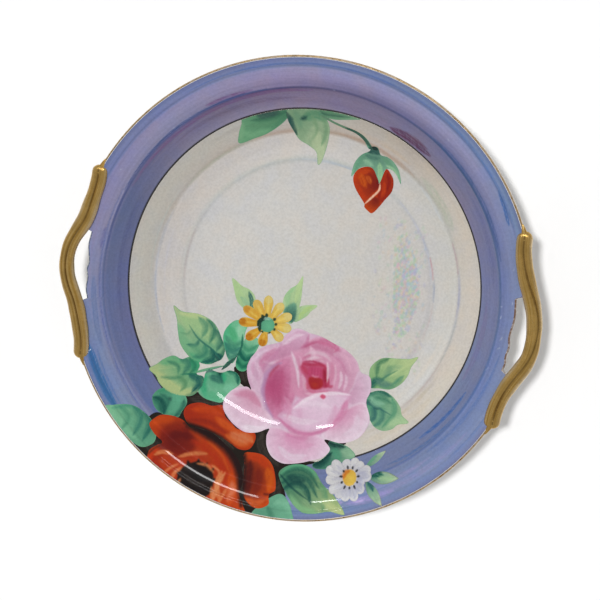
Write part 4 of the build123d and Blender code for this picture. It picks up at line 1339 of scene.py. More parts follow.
def paint_poppy(c):
    """An orange-red poppy: three dark-throated petals round a black centre."""
    maroon, black = (96, 32, 30), (40, 34, 32)
    top, bowl, side = SHAPES["poppy"]
    c.within(top)
    c.fill(top, (150, 46, 20), (180, 68, 30), (-50, -76), hairs=0.4, rim=(150, 48, 20), rim_width=1)
    c.strokes(
        ((-46, -71, -38, -70, -31, -71), 3.6, (178, 64, 24), 0.8, 0.5, 1.4),
        ((-46, -75.6, -36, -76.2, -26, -80.4), 2.4, (126, 40, 18), 0.6, 0.5, 1.3),
        ((-34, -73.4, -27, -76.6, -18, -79.4), 3.2, (190, 82, 38), 0.75, 0.5, 1.4),
        ((-27, -80.4, -21, -83, -15, -83.4), 2.6, (196, 104, 58), 0.65, 0.5, 1.2),
        ((-30, -77.6, -23, -80, -15.4, -81), 1, (150, 54, 26), 0.5, 0.5, 0.6),
        ((-52, -72, -48, -78, -38, -80.4, -28, -83.4, -20, -87), 3.6, (50, 31, 27), 0.9, 0.2, 1.6),
        ((-20, -79, -16, -80.4, -13, -82), 2.8, (196, 116, 76), 0.7, 0.5, 1.2),
        ((-25, -79.4, -20, -81, -15.4, -82.2), 3.2, (196, 116, 78), 0.75, 0.6, 1.6))
    c.within(bowl)
    c.fill(bowl, (158, 52, 32), (174, 66, 32), (-40, -95), hairs=0.4)
    c.stroke((-48, -82, -36, -86, -26, -92), 6, (178, 78, 50), 0.6, hairs=0.6, soft=2.4)
    c.area((-64, -79, -60, -74.4, -53, -74.4, -47, -77, -44.6, -80, -48, -84, -54, -87.4),
           (124, 40, 26), (182, 68, 30), (-46, -84), hairs=0.4, soft=1)
    c.stroke((-62, -79, -58.6, -76.4, -53, -76.4), 3.4, (186, 72, 32), 0.8, hairs=0.5, soft=1.6)
    c.area((-57, -81, -51, -78.6, -45, -80, -39, -85, -42, -91, -50, -92, -57, -89), maroon,
           (128, 40, 26), (-50, -87), hairs=0.4, soft=3, strength=0.95)
    c.stroke((-53, -84, -48, -82, -42, -84), 4, (92, 30, 28), 0.7, soft=2)
    c.soften(2)
    c.strokes(
        ((-57, -82, -52, -80, -46, -81), 2.4, (136, 44, 24), 0.5, 0.5, 1.4),
        ((-44, -80.4, -33, -83.4, -22, -90, -15, -99), 4.4, (180, 60, 22), 0.85, 0.5, 1.6),
        ((-42, -84.6, -33, -88, -24, -95, -19, -104), 4, (166, 50, 20), 0.75, 0.5, 1.8),
        ((-36, -83.6, -27, -89, -19.6, -97), 1.2, (194, 88, 42), 0.5, 0.8),
        ((-58, -89.4, -60.5, -94, -55, -100), 5, (176, 56, 22), 0.85, 0.5, 1.6),
        ((-54, -91, -57, -96, -50, -103), 3.4, (140, 42, 22), 0.7, 0.5, 1.4),
        ((-56, -99.6, -49, -104, -42, -107), 3.2, (100, 32, 26), 0.6, 0.5, 1.4),
        ((-19.5, -96, -17, -104, -17, -111), 4.6, (186, 72, 30), 0.8, 0.5, 1.6),
        ((-21, -108, -26, -112, -34, -112), 3.6, (170, 62, 28), 0.7, 0.5, 1.4),
        ((-55, -87, -59, -90.4, -61.6, -94), 1, (60, 36, 30), 0.6, 0.5, 0.8),
        ((-46, -78.6, -38, -80, -30, -82.6, -22, -87.4, -15.5, -94, -12.8, -101, -11, -110), 5.6,
         (44, 30, 27), 0.95, 0.2, 2))
    c.within()
    # black centre with ragged anthers
    c.area((-43.5, -97.5, -39, -94, -34, -93.6, -29.5, -96, -27, -100.5, -27.5, -107, -32, -109.5,
           -40, -108, -44.5, -103.5), (30, 27, 27), black, hairs=0.5, soft=0.5)
    for tip, root in (
            ((-41.5, -93.5), (-39, -98)),
            ((-36.5, -92.2), (-36, -97)),
            ((-32, -93.4), (-33, -98)),
            ((-28.2, -95.4), (-31, -99)),
            ((-26, -100), (-30, -101)),
            ((-26.6, -106), (-31, -105)),
            ((-45.5, -99.5), (-41, -101)),
            ((-46, -104), (-41, -104))):
        c.stroke((root, ((root[0] + tip[0]) / 2, (root[1] + tip[1]) / 2 - 0.2), tip), 1.8, (34, 29, 28),
                 0.95, hairs=0.2)
    c.stroke((-42, -100, -36, -103, -30, -103.5), 2.6, (62, 55, 52), 0.5, hairs=0.9)
    # peach lights
    for line, width in (
            ((-58, -93, -54, -91, -49, -91.6), 1.5),
            ((-46.5, -92.4, -40, -90.2, -33, -89.6), 1.4),
            ((-37, -94.2, -32, -94.6, -27.6, -97.4), 1),
            ((-24, -96, -25, -102, -22, -109.5), 1.9),
            ((-27.4, -103.5, -26.4, -107, -25.4, -111), 1.2),
            ((-45.5, -95.6, -49, -98, -52.5, -102), 1),
            ((-43.4, -96.8, -46.4, -100, -47.5, -104), 1.3),
            ((-43, -102, -43.6, -105, -41.5, -107.8), 1.2),
            ((-30, -94, -26, -96, -24.5, -99), 0.9)):
        c.stroke(line, width * 1.3, (198, 120, 74), 0.8, hairs=0.6)
    c.strokes(
        ((-22.4, -96.4, -24.6, -103, -25.4, -111), 2.2, (200, 128, 84), 0.85, 0.5, 0.7),
        ((-19.6, -103, -21.4, -108, -22.6, -112), 1.5, (196, 118, 72), 0.8, 0.5, 0.6),
        ((-18, -100, -17, -104, -18, -109), 3.4, (200, 122, 92), 0.6, 0.6, 1.6))
    # right petal
    c.within(side)
    c.fill(side, (90, 34, 30), (184, 68, 24), (-12, -99), hairs=0.4, rim=(186, 74, 26), rim_width=1.6)
    c.strokes(
        ((-14.4, -88.6, -8, -88.6, -2, -92), 3.4, (178, 60, 24), 0.85, 0.5, 1.3),
        ((-12, -90.5, -11, -98, -9, -103.5), 4.6, (80, 33, 31), 0.85, 0.5, 1.8),
        ((-7, -93, -5, -98.6, -6, -104), 3.4, (112, 38, 28), 0.7, 0.5, 1.6),
        ((-3, -92, 0.4, -97, 0.6, -101.4), 3.6, (190, 84, 26), 0.85, 0.5, 1.2),
        ((-9, -106.4, -4, -107.6, 0, -105.4), 2.8, (188, 88, 48), 0.8, 0.5, 1),
        ((-1.5, -102.9, 1.4, -102.6, 3.4, -101.6), 1, (84, 32, 28), 0.8),
        ((-17, -86, -15.4, -94, -13.4, -101, -11, -110), 5, (46, 30, 27), 0.92, 0.2, 1.8))
    c.within()
    c.stroke((-48, -77.4, -38, -80, -30, -82.8, -22, -87.6, -15.5, -94, -12.6, -102, -11, -110), 2.4,
             (42, 30, 27), 0.97, soft=1.2, hairs=0.1)
    c.soften(1)


def paint_ground(c):
    """The brush-softened black ground between the flowers."""
    for line in (
            (-48, -66, -38, -66.5, -30, -69),
            (-45, -76, -33, -80, -22, -86),
            (-10, -76, -8, -84, 2, -90),
            (4, -96, 5, -104, 0, -110),
            (-64, -84, -60, -90, -56, -89),
            (-25, -49, -23, -54),
            (-13, -90, -13, -97, -11, -104)):
        c.stroke(line, 4, (62, 57, 52), 0.6, hairs=1, soft=1.2)
    c.strokes(
        ((-50, -73, -57, -73.5, -64, -79), 1.6, (70, 74, 66), 0.6, 0.5, 1),
        ((24, -74.8, 30, -75.4), 1.2, (30, 30, 28), 0.9))


def paint_leaf(c, outline, near, far, origin, strokes, vein=None, vein_tone=(42, 96, 86)):
    """One leaf: a graded wash, crescents laid with a side-loaded brush, then a fine vein.

    Each stroke has its points, width, tone and strength, and 1 or -1 for the side that is loaded.
    """
    c.within(outline)
    c.fill(outline, np.array(near) * 0.93, np.array(far) * 0.95, origin, hairs=0.4, soft=1.2)
    for points, width, tone, strength, *loaded in strokes:
        lean = loaded[0] if loaded else 0
        c.stroke(points, width, np.array(tone) * (0.88 if lean else 0.96), strength * 0.92,
                 hairs=0.3, soft=1.1 if lean else 1.8, lean=lean)
    if vein:
        c.stroke(vein, 0.95, vein_tone, 0.9, hairs=0.2, fade=0.45)
    c.within()


def paint_left_leaves(c):
    """The spray of leaves left of the rose, with its stems."""
    loops = SHAPES["left_leaves"]
    paint_leaf(c, loops[0], (84, 144, 116), (124, 182, 142), (-62, -82), (
        ((-84, -75, -77, -80, -68, -87), 4, (128, 184, 146), 0.6),
        ((-79, -72.6, -74.4, -77, -76, -83), 3.2, (82, 148, 118), 0.7, 1),
        ((-73, -71.6, -68.4, -77, -70, -85), 3.4, (64, 130, 112), 0.85, 1),
        ((-68, -73.4, -63.6, -78.4, -65, -87), 3.4, (48, 112, 98), 0.9, 1),
        ((-82, -73.4, -74, -71.4, -66, -74), 1.6, (58, 128, 108), 0.7)))
    paint_leaf(c, loops[1], (68, 136, 110), (96, 164, 130), (-60, -72), (
        ((-64, -64, -59, -63, -54, -63.4), 2.4, (58, 140, 104), 0.7),
        ((-65.4, -67, -61, -69.4, -58.4, -74.6), 3.8, (34, 90, 82), 0.9, 1),
        ((-62.4, -65.4, -58.6, -68, -58, -72), 2.2, (44, 104, 90), 0.6, 1),
        ((-55.8, -64, -54, -69, -56.4, -74), 4.6, (98, 170, 136), 0.75),
        ((-51, -67, -51, -71, -53.6, -75.4), 3, (50, 108, 94), 0.85, 1),
        ((-57.8, -66.8, -57, -67.6), 0.9, (30, 60, 58), 0.8)))
    paint_leaf(c, loops[2], (84, 156, 116), (176, 190, 136), (-49, -50), (
        ((-66, -50.6, -60, -48.4, -54, -48), 4.4, (92, 162, 118), 0.7),
        ((-52, -47.8, -49, -49.6, -49, -53), 5, (56, 148, 106), 0.85),
        ((-69, -54.6, -61, -60, -52, -63.6, -46.4, -61), 4.8, (176, 190, 132), 0.85),
        ((-63, -49.6, -57.6, -51.6, -56.6, -55), 2.2, (72, 136, 106), 0.85, 1),
        ((-57.6, -47.6, -53, -50, -54.2, -54.8), 3.4, (64, 128, 106), 0.9, 1),
        ((-53, -46.8, -49.6, -50.4, -51.2, -54.4), 2.6, (48, 124, 94), 0.75, 1),
        ((-56.4, -56.6, -52.4, -59.4, -53.6, -63), 2.8, (92, 148, 106), 0.8, 1),
        ((-51.4, -55, -46.4, -58, -48.2, -63), 3.8, (38, 98, 92), 0.95, 1),
        ((-47.6, -54.4, -43.6, -57, -45.2, -61.6), 3.4, (34, 90, 84), 0.9, 1),
        ((-50.4, -65, -46.6, -63.6, -44.4, -61), 1, (68, 108, 88), 0.8),
        ((-54, -55.6, -58, -57.4, -63.6, -57.4), 0.9, (62, 122, 92), 0.85)),
        (-46.4, -54.2, -50, -54.4, -55.4, -55.2), (34, 102, 82))
    paint_leaf(c, loops[3], (84, 160, 122), (122, 180, 146), (-36, -53), (
        ((-43.4, -53.6, -43.6, -58.6, -41, -64.4), 3.2, (54, 154, 110), 0.85),
        ((-38.6, -54, -38.8, -59.4), 5, (92, 156, 124), 0.5),
        ((-42.4, -51.8, -38, -51.2, -35.2, -55.4), 3.4, (22, 74, 64), 0.95, 1),
        ((-34.6, -52, -33.8, -56), 2.4, (50, 158, 112), 0.85),
        ((-33, -50.4, -28.4, -51.2, -26.6, -56), 3.4, (32, 98, 82), 0.9, 1),
        ((-33, -59.4, -27.6, -57.6), 4.2, (120, 186, 152), 0.7),
        ((-42, -63.4, -36, -65, -31.4, -63), 3.2, (82, 172, 130), 0.8)))
    paint_leaf(c, loops[4], (96, 158, 120), (176, 190, 142), (-44, -45), (
        ((-60, -27.6, -50, -30, -42, -37), 8, (152, 184, 132), 0.85),
        ((-61, -25.4, -49, -25.6, -41, -31.4), 3, (180, 194, 138), 0.8),
        ((-61, -31, -58, -38, -51, -45), 5, (112, 168, 126), 0.8),
        ((-53, -44.6, -46, -47.6, -40, -46.6), 3, (82, 160, 118), 0.8),
        ((-51.6, -26, -47.6, -30, -48.4, -35.6), 3.6, (92, 148, 116), 0.85, 1),
        ((-47.4, -26.2, -43.2, -31, -44.2, -37.8), 3.8, (70, 130, 104), 0.95, 1),
        ((-42.4, -30.6, -38.8, -35, -40, -41), 3.6, (62, 118, 100), 0.9, 1),
        ((-39.2, -33.6, -35.8, -38.4, -37.4, -44.6), 3.4, (56, 110, 90), 0.9, 1),
        ((-54.6, -33, -56, -35, -59.6, -34.6), 1.2, (96, 150, 114), 0.6, 1),
        ((-49.8, -37.2, -51, -39.8, -55.2, -40.2), 2.2, (60, 118, 102), 0.9, 1),
        ((-46.6, -39, -46, -43.4, -51, -46), 3.8, (68, 136, 110), 0.9, 1),
        ((-43, -40.6, -41.8, -45, -46.6, -48), 3.8, (36, 94, 86), 0.95, 1),
        ((-39.8, -42.4, -38, -45.2, -41.8, -48.4), 3.6, (26, 78, 76), 0.95, 1)),
        (-36.4, -45.6, -42, -41, -50, -36.6, -55.8, -30.4))
    paint_leaf(c, loops[5], (98, 178, 136), (128, 190, 150), (-34, -32), (
        ((-34.6, -26, -37, -33, -34.4, -41.6), 3.2, (76, 166, 122), 0.85),
        ((-29.6, -26, -28.8, -32.4), 4.4, (146, 196, 162), 0.8),
        ((-36.4, -32.6, -31.6, -36, -27.2, -33.6), 3.4, (72, 144, 114), 0.85, -1),
        ((-36.2, -36, -32, -39.6, -28, -37), 3.4, (58, 122, 110), 0.9, -1),
        ((-35.2, -39.8, -32.2, -42.8, -29, -40.4), 3, (58, 118, 104), 0.9, -1),
        ((-34.4, -43, -32, -45.2, -29.6, -43), 1.6, (96, 164, 126), 0.7)))
    paint_leaf(c, loops[6], (70, 154, 114), (132, 186, 150), (-26, -46), (
        ((-28.4, -33.4, -24.2, -37.2, -19.4, -34.4), 3.4, (68, 146, 112), 0.85, -1),
        ((-28.6, -37.8, -24.6, -42, -20, -38.8), 3.8, (28, 96, 82), 0.95, -1),
        ((-29.4, -42.2, -25.6, -46.4, -21.6, -43.4), 3.8, (34, 108, 86), 0.95, -1),
        ((-29, -46, -26, -49, -23.4, -47.4), 1.8, (80, 168, 122), 0.8)))
    c.strokes(
        ((-28, -30.4, -27.6, -37, -29.4, -42.6, -33, -47), 1, (36, 90, 76), 0.85, 0.2),
        ((-46, -53.8, -39.6, -50.8, -33.4, -47.8), 1.2, (84, 116, 108), 0.95, 0.2),
        ((-36, -50.4, -33.4, -47.4, -30, -43), 1.8, (50, 84, 74), 0.95, 0.2),
        ((-41, -43.2, -37, -46, -32.6, -45.8), 1.2, (42, 80, 74), 0.9))
    c.strokes(
        ((-41, -54.6, -37, -55, -34, -56.6), 3.6, (50, 100, 88), 0.8),
        ((-41, -62.4, -36, -63.4, -31.6, -61.6), 3.4, (84, 160, 120), 0.85),
        ((-35.6, -28, -33, -31, -31, -35), 3.6, (72, 154, 108), 0.75),
        ((-35.6, -37, -32.6, -38.6, -29.6, -37.6), 3, (56, 118, 98), 0.75),
        ((-53, -40.6, -50, -42, -48, -44.6), 2.6, (84, 140, 106), 0.6),
        hairs=0.4, soft=1.5)


def paint_right_leaves(c):
    """The two leaves right of the rose."""
    loops = SHAPES["right_leaves"]
    paint_leaf(c, loops[0], (122, 166, 116), (184, 198, 144), (42, -44), (
        ((47, -29, 41.8, -32.6, 42, -39.6), 3.2, (84, 134, 98), 0.9, 1),
        ((54, -31.6, 47.6, -35.6, 45.4, -41), 3.6, (116, 160, 126), 0.8, 1),
        ((55.6, -36.6, 50.6, -43.4, 44, -44), 3.4, (92, 148, 118), 0.85, -1),
        ((58, -30, 53, -33, 49, -38), 3, (178, 196, 140), 0.6),
        ((39.6, -46, 41.6, -42.2, 45.4, -40.4), 3.4, (36, 90, 82), 0.95),
        ((47, -34.4, 47.8, -33.6, 48.6, -33), 0.9, (84, 128, 102), 0.6)),
        (40, -45.4, 45.6, -39.6, 52, -34.4), (68, 116, 92))
    paint_leaf(c, loops[1], (84, 146, 118), (168, 194, 150), (42, -54), (
        ((38, -50.8, 43.4, -46.8, 51, -48), 4, (44, 102, 90), 0.9, 1),
        ((41, -52, 46, -50, 52, -51), 3, (74, 132, 106), 0.8, 1),
        ((51.6, -48.4, 53.6, -54.6, 49.6, -62.6), 3.6, (92, 156, 122), 0.8, 1),
        ((47, -54.4, 48.2, -58.6, 45, -63.4), 3.6, (80, 136, 118), 0.9, 1),
        ((42.4, -54, 44, -58.2, 42.4, -62), 3.6, (62, 114, 108), 0.9, 1),
        ((61.6, -57.8, 56, -58.6, 52, -62), 3.4, (168, 198, 152), 0.75),
        ((35.6, -53.6, 39.5, -52.8, 43, -53), 2, (54, 92, 92), 0.9),
        ((44, -53.8, 45.2, -54.6, 46.2, -54.2), 1.1, (34, 66, 70), 0.9)),
        (37, -53.2, 44.6, -54.2, 53, -56.4), (54, 100, 94))
    c.strokes(
        ((42, -41, 46, -42.4, 50, -41.6), 3, (82, 120, 106), 0.8),
        ((41, -50, 44, -52.4, 48, -52), 3.4, (126, 172, 144), 0.7),
        hairs=0.4, soft=1.5)


def paint_lower_leaves(c):
    """The leaves round the white daisy and under the rose."""
    loops = SHAPES["lower_leaves"]
    paint_leaf(c, loops[0], (92, 150, 122), (112, 172, 140), (0, -112), (
        ((5, -106, 10, -105, 14, -109), 3, (124, 182, 150), 0.6),
        ((2, -108, 5, -112, 3, -116), 3.4, (70, 130, 104), 0.7, -1)))
    paint_leaf(c, loops[1], (46, 104, 88), (146, 184, 150), (22, -84), (
        ((21, -74.6, 27, -76.8, 33, -76), 3.6, (26, 62, 58), 0.9, 1),
        ((27, -78, 30, -80, 30, -83), 3.8, (70, 146, 112), 0.6),
        ((18.6, -87, 23, -85, 27, -80), 4.6, (22, 60, 58), 0.9, 1),
        ((32, -78, 36, -78.6, 38.6, -79), 2.4, (140, 180, 146), 0.7)))
    paint_leaf(c, loops[2], (70, 128, 100), (180, 192, 134), (8, -96), (
        ((4, -93.6, 9, -89.6, 16, -88.4, 23, -91.4), 2.6, (90, 164, 124), 0.9),
        ((4.4, -95, 11, -90.8, 17.6, -91, 25, -95.6), 3.2, (52, 108, 90), 0.8, 1),
        ((5.6, -97.4, 12, -93.4, 18.6, -94, 25, -99.4), 3.4, (44, 98, 86), 0.8, 1),
        ((7.4, -99.8, 13, -96.2, 18.4, -97.6, 22.6, -103), 3.6, (36, 86, 80), 0.85, 1),
        ((24, -93.4, 28.4, -97.4, 29, -105), 3.6, (106, 158, 116), 0.85, 1),
        ((29.4, -95.6, 34, -99.6, 35.4, -105), 3.4, (158, 184, 126), 0.8, 1),
        ((28, -100, 33, -102.4, 38, -104), 3.6, (186, 196, 138), 0.7),
        ((12, -101.4, 18, -106, 28, -106.4), 3, (126, 178, 128), 0.8)),
        (4, -93.4, 12, -98, 21, -101.6), (28, 66, 64))
    c.stroke((8, -93.6, 12, -94.4, 17, -94), 3, (34, 72, 68), 0.7, hairs=0.4, soft=1.4)
    for base, tip in (
            ((45.6, -82), (54.1, -72.4)),
            ((48.6, -85.6), (63.5, -82.3)),
            ((47.3, -87.4), (57.8, -96.8))):
        base, tip = np.array(base, float), np.array(tip, float)
        c.fill(leaf(base, tip, 2.8, 2.8), (84, 130, 112), (170, 190, 156), base, rim=(128, 112, 108),
               rim_width=0.6)
    c.strokes(
        ((48, -84.6, 51.4, -83.2, 55.2, -83), 3.4, (38, 88, 78), 0.95, 0.5, 1.2),
        ((53, -84.6, 57, -84, 60.6, -83), 2.2, (150, 184, 140), 0.7, 0.5, 0.9),
        ((48.4, -87.6, 50.6, -88.8, 52, -90.8), 2.2, (46, 92, 92), 0.9, 0.5, 0.9),
        ((45, -81, 48, -78, 50, -75.6), 1.6, (96, 152, 122), 0.8, 0.5, 0.6))


def paint_daisy_leaves(c):
    """Pale leaves behind the yellow daisy, with blue-green bases."""
    for base, tip, left, right in (
            ((-24, -18), (-36.8, -4), 4.3, 4.3),
            ((-5, -20), (-2.5, 3), 5, 3.6),
            ((-3.5, -20), (6.5, -9.5), 3.2, 2.6)):
        c.fill(leaf(base, tip, left, right), (140, 172, 132), (168, 190, 140), base, hairs=0.6)
    c.strokes(
        ((-30, -14, -33, -10, -36, -5), 3.6, (158, 186, 134), 0.7, 0.8),
        ((-25.2, -17, -26, -13, -28, -8.6), 2.2, (66, 106, 96), 0.85, 0.7),
        ((-27, -16, -30, -13, -32, -12), 2.4, (132, 168, 134), 0.6, 0.8))
    c.area((-5.4, -20.2, -9, -16, -8, -12.6, -4, -10, -2.6, -15, -3.2, -19.4), (52, 92, 84),
           (104, 150, 124), (-5, -18), hairs=0.6, soft=1.5)
    c.strokes(
        ((-8, -12, -8, -6, -4.6, 0), 3, (142, 180, 134), 0.7, 0.8),
        ((-4, -10, -3.4, -4, -3, 1), 2, (166, 190, 136), 0.7, 0.8),
        ((-1, -18, 1, -13.6, 4.6, -10.4), 2.2, (160, 186, 120), 0.7, 0.8))


def paint_top_leaves(c):
    """The leaves at the top, half cut off by the black line."""
    loops = SHAPES["top_leaves"]
    paint_leaf(c, loops[2], (88, 136, 104), (126, 164, 132), (-10, 87), (
        ((-12, 87.4, -2, 85.6, 10, 86), 1.6, (64, 106, 88), 0.8, 1),))
    paint_leaf(c, loops[0], (76, 128, 98), (112, 164, 124), (-22, 84), (
        ((-41.6, 79.6, -31, 83, -19.6, 87), 4, (44, 84, 74), 0.9, 1),
        ((-38, 76.6, -29, 79.2, -21, 84), 2.4, (66, 116, 92), 0.8, 1),
        ((-40, 73.6, -32, 75, -25, 79), 2.4, (104, 156, 118), 0.7, 1),
        ((-41.6, 70, -36, 70, -28.6, 74), 3, (118, 168, 128), 0.7),
        ((-42, 75, -42.4, 70, -42.4, 66), 2.4, (126, 172, 132), 0.7)))
    paint_leaf(c, loops[1], (118, 156, 122), (178, 192, 156), (-16, 82), (
        ((-13, 82, -7, 84.8, -1, 83), 4.6, (88, 138, 106), 0.85),
        ((-2, 62, -4.6, 70, -5, 76), 6, (174, 190, 152), 0.75),
        ((-4, 84.6, -1.6, 78, -3, 70), 3, (118, 160, 122), 0.7, 1),
        ((-9, 84, -6.6, 78, -8, 72), 3, (128, 166, 126), 0.7, 1),
        ((-21.4, 84, -19.4, 78.6, -15.4, 73.6), 4.4, (40, 72, 70), 0.95, -1),
        ((-17.5, 85, -15, 81.5, -13.6, 77), 2.2, (104, 144, 116), 0.7),
        ((-13.8, 81.4, -12.4, 82.2, -11.4, 83), 1.9, (40, 74, 70), 0.9)))
    c.strokes(
        ((-35, 79.4, -30, 81.4, -25, 83), 3.2, (56, 82, 78), 0.8),
        ((-10, 72, -8, 75, -7.4, 79), 3.4, (154, 174, 140), 0.6),
        ((-19.4, 82, -18.8, 79, -17.6, 76.6), 2.6, (46, 80, 76), 0.8),
        hairs=0.4, soft=1.5)


def paint_stem(c):
    """The bud's curving stem and its green cap."""
    c.fill(SHAPES['bud_stem'][0], (86, 126, 110), (132, 176, 140), (24, 72), hairs=0.3, soft=0.8)
    c.strokes(
        ((22, 71, 18, 67, 15, 59), 2.4, (92, 138, 112), 0.7, 0.5, 1),
        ((19, 66, 22, 65, 24, 64), 2.4, (138, 178, 146), 0.6, 0.5, 1),
        ((27, 66, 28, 61, 28.4, 57), 2.6, (140, 182, 138), 0.8, 0.5, 0.8),
        ((27.5, 69, 32, 66.4, 37, 60), 1.8, (96, 142, 112), 0.7, 0.5, 0.8),
        ((30.5, 65.4, 34, 64.2, 37, 61), 1.4, (150, 188, 148), 0.7, 0.5, 0.6),
        ((19.5, 69, 23, 68, 27, 68.4), 1.8, (72, 112, 98), 0.7, 0.5, 0.8),
        ((20.8, 70.6, 23.5, 72, 26.4, 70.4), 3.6, (48, 82, 76), 0.85, 0.5, 0.9),
        ((21.6, 72.8, 23.6, 73, 25.4, 72.4), 1.8, (34, 48, 46), 0.9),
        ((-4.6, 85, 2, 82.4, 8, 80.8, 14, 79, 18.6, 76.2, 23, 72), 2.2, (60, 88, 76), 0.95, 0.2),
        ((-4.6, 85, 2, 82.3, 9, 80.6), 1.6, (108, 140, 112), 0.75, 0.3))


def paint_bud(c):
    """Two red lobes of the opening bud, with the pale line where they meet."""
    c.area((22.3, 44.6, 17, 51.4, 14.8, 56.5, 16.4, 61, 20, 63, 24, 63, 27.6, 58, 28.6, 54.4, 25.4, 50),
           (104, 32, 16), (174, 62, 24), (28, 56), hairs=0.4, soft=0.7)
    c.area((28.6, 56, 30.6, 64, 33.8, 61.4, 35.4, 58, 35, 53, 32, 47.6, 28.8, 47.8, 28.4, 52),
           (134, 40, 18), (158, 54, 22), (30, 50), hairs=0.4, soft=0.7)
    c.area((22.6, 43.6, 24.4, 41.6, 27, 40.8, 29.8, 44.4, 29.9, 47.4, 27.2, 49, 24.6, 46.6),
           (112, 36, 18), (178, 70, 32), (27.8, 47.4), hairs=0.4, soft=0.6)
    c.strokes(
        ((17.4, 57, 19.5, 60, 23, 61.4), 2.2, (176, 66, 28), 0.7, 0.5, 0.9),
        ((21.4, 58.4, 23, 57, 24, 55), 2.2, (188, 92, 48), 0.6, 0.5, 1),
        ((22, 60, 25, 58.6, 26.6, 55), 1.2, (128, 42, 18), 0.6, 0.5, 0.7),
        ((18.6, 52.4, 21, 49, 23, 46.6), 1.8, (168, 56, 22), 0.6, 0.5, 0.8),
        ((31.6, 61.6, 33, 57.6, 32.6, 53), 1.8, (122, 34, 18), 0.7, 0.5, 0.9),
        ((30.6, 57, 31, 52.6, 30.4, 49), 2, (176, 62, 26), 0.7, 0.5, 0.9),
        ((28.6, 56.2, 28.6, 52.6, 26.2, 49.2, 22.4, 44.4), 1, (216, 178, 154), 0.95, 0.2),
        ((18.6, 59, 20, 56, 22, 53), 3.2, (178, 78, 34), 0.75, 0.5, 1.2))


def paint_daisy(c, centre, tips, width, inner, outer, line, eye, eye_tones):
    """Petals shaded from the eye outward, each with a fine outline, round a shaded eye."""
    centre = np.array(centre, float)
    for k, tip in enumerate(tips):
        tip = np.array(tip, float)
        start = centre + (tip - centre) * PETAL_ROOT
        shade = 0.5 + 0.5 * math.cos(math.radians(77 * k))
        far = np.array(outer) * (1 - 0.6 * shade) + np.array(inner) * 0.6 * shade
        c.fill(petal_loop(start, tip, width), inner, far, centre, hairs=0.6, rim=line, rim_width=0.5)
        c.stroke([start + (tip - start) * q for q in (0.35, 0.6, 0.85)], 1.2, outer, 0.5, hairs=0.7)
    ring = [centre + eye * np.array([math.cos(a), math.sin(a)]) for a in np.linspace(0, TURN, 9)[:-1]]
    c.area(ring, *eye_tones, centre + (1.2, -0.5), hairs=0.3)


def paint_yellow_daisy(c):
    """Golden petals, ochre to brown at the lower left, round a green eye with dark stamens."""
    eye, tips = np.array(YELLOW_EYE), np.array(YELLOW_TIPS, float)
    paint_daisy(c, eye, tips, 4.9, (194, 156, 66), (200, 180, 104), (182, 148, 80), 3.9,
                [(96, 166, 128), (78, 140, 112)])
    for tip in tips:
        out = (tip - eye) / np.linalg.norm(tip - eye)
        brown = np.clip(0.35 - 0.85 * (0.8 * out[0] + 0.6 * out[1]), 0, 1)
        c.stroke([eye + out * 5, eye + out * 8, tip - out * 0.4], 4.4, (192, 138, 46), 0.85 * brown,
                 hairs=0.5, soft=1)
        c.stroke([tip - out * 3.6, tip - out * 1.8, tip + out * 0.4], 3.6, (166, 104, 34),
                 0.9 * brown**2, hairs=0.5, soft=1.2)
        c.stroke([eye + out * 5.4, eye + out * 8, tip - out * 3], 1.3, (212, 184, 92),
                 0.7 - 0.4 * brown, hairs=0.5)
        c.stroke([tip - out * 4, tip - out * 2, tip + out * 0.4], 3.6, (198, 184, 122),
                 0.6 * (1 - brown) ** 2, hairs=0.5, soft=1.2)
    c.stroke([(-16.8, -19), (-20.4, -22.6), (-19.4, -27.6)], 2.2, (34, 56, 50), 0.95, hairs=0.2)
    c.stroke([(-18.4, -21), (-17, -20.2), (-15, -20.4)], 1.6, (150, 182, 166), 0.7, hairs=0.4)
    for k in range(9):
        a = math.radians(40 * k + 12 + 9 * math.sin(4 * k))
        out = np.array([math.cos(a), math.sin(a)])
        c.stroke([eye + out * d for d in (3.9, 4.6, 5.2 + 0.5 * math.sin(7 * k))], 1.5, (40, 58, 46), 0.9,
                 hairs=0.2)


def paint_white_daisy(c):
    """White petals shaded lilac round a yellow eye with black stamens."""
    eye, tips = np.array(WHITE_EYE), np.array(WHITE_TIPS, float)
    paint_daisy(c, eye, tips, 4.7, (188, 188, 192), (204, 204, 202), (158, 152, 162), 3.5,
                [(214, 184, 84), (202, 158, 66)])
    for tip in tips:
        out = (tip - eye) / np.linalg.norm(tip - eye)
        dusk = np.clip(0.55 * out[0] - 0.35 * out[1] + 0.1, 0, 1)
        c.stroke([eye + out * 3.6, eye + out * 6.4, tip - out * 1.2], 4, (158, 160, 182), 0.8 * dusk,
                 hairs=0.7, soft=1)
        c.stroke([eye + out * 3.6, eye + out * 5.6, tip - out * 2.6], 1.2, (172, 172, 184), 0.6, hairs=0.7)
    c.stroke([(35.9, -89), (36.2, -86.6), (38.2, -85.2)], 2.0, (194, 112, 44), 0.85, hairs=0.4, soft=0.8)
    for k in range(11):
        a = math.radians(32.7 * k + 22)
        out = np.array([math.cos(a), math.sin(a)])
        c.stroke([eye + out * d for d in (3.7, 4.5, 5.2 + 0.4 * math.sin(3 * k))], 0.95, (42, 42, 46), 0.9,
                 hairs=0.1)


PAINTERS = {"dark_ground": paint_ground, "lower_leaves": paint_lower_leaves,
            "left_leaves": paint_left_leaves, "right_leaves": paint_right_leaves,
            "yellow_daisy_leaves": paint_daisy_leaves, "top_leaves": paint_top_leaves,
            "bud_stem": paint_stem, "bud": paint_bud, "poppy": paint_poppy, "rose": paint_rose,
            "white_daisy": paint_white_daisy, "yellow_daisy": paint_yellow_daisy}

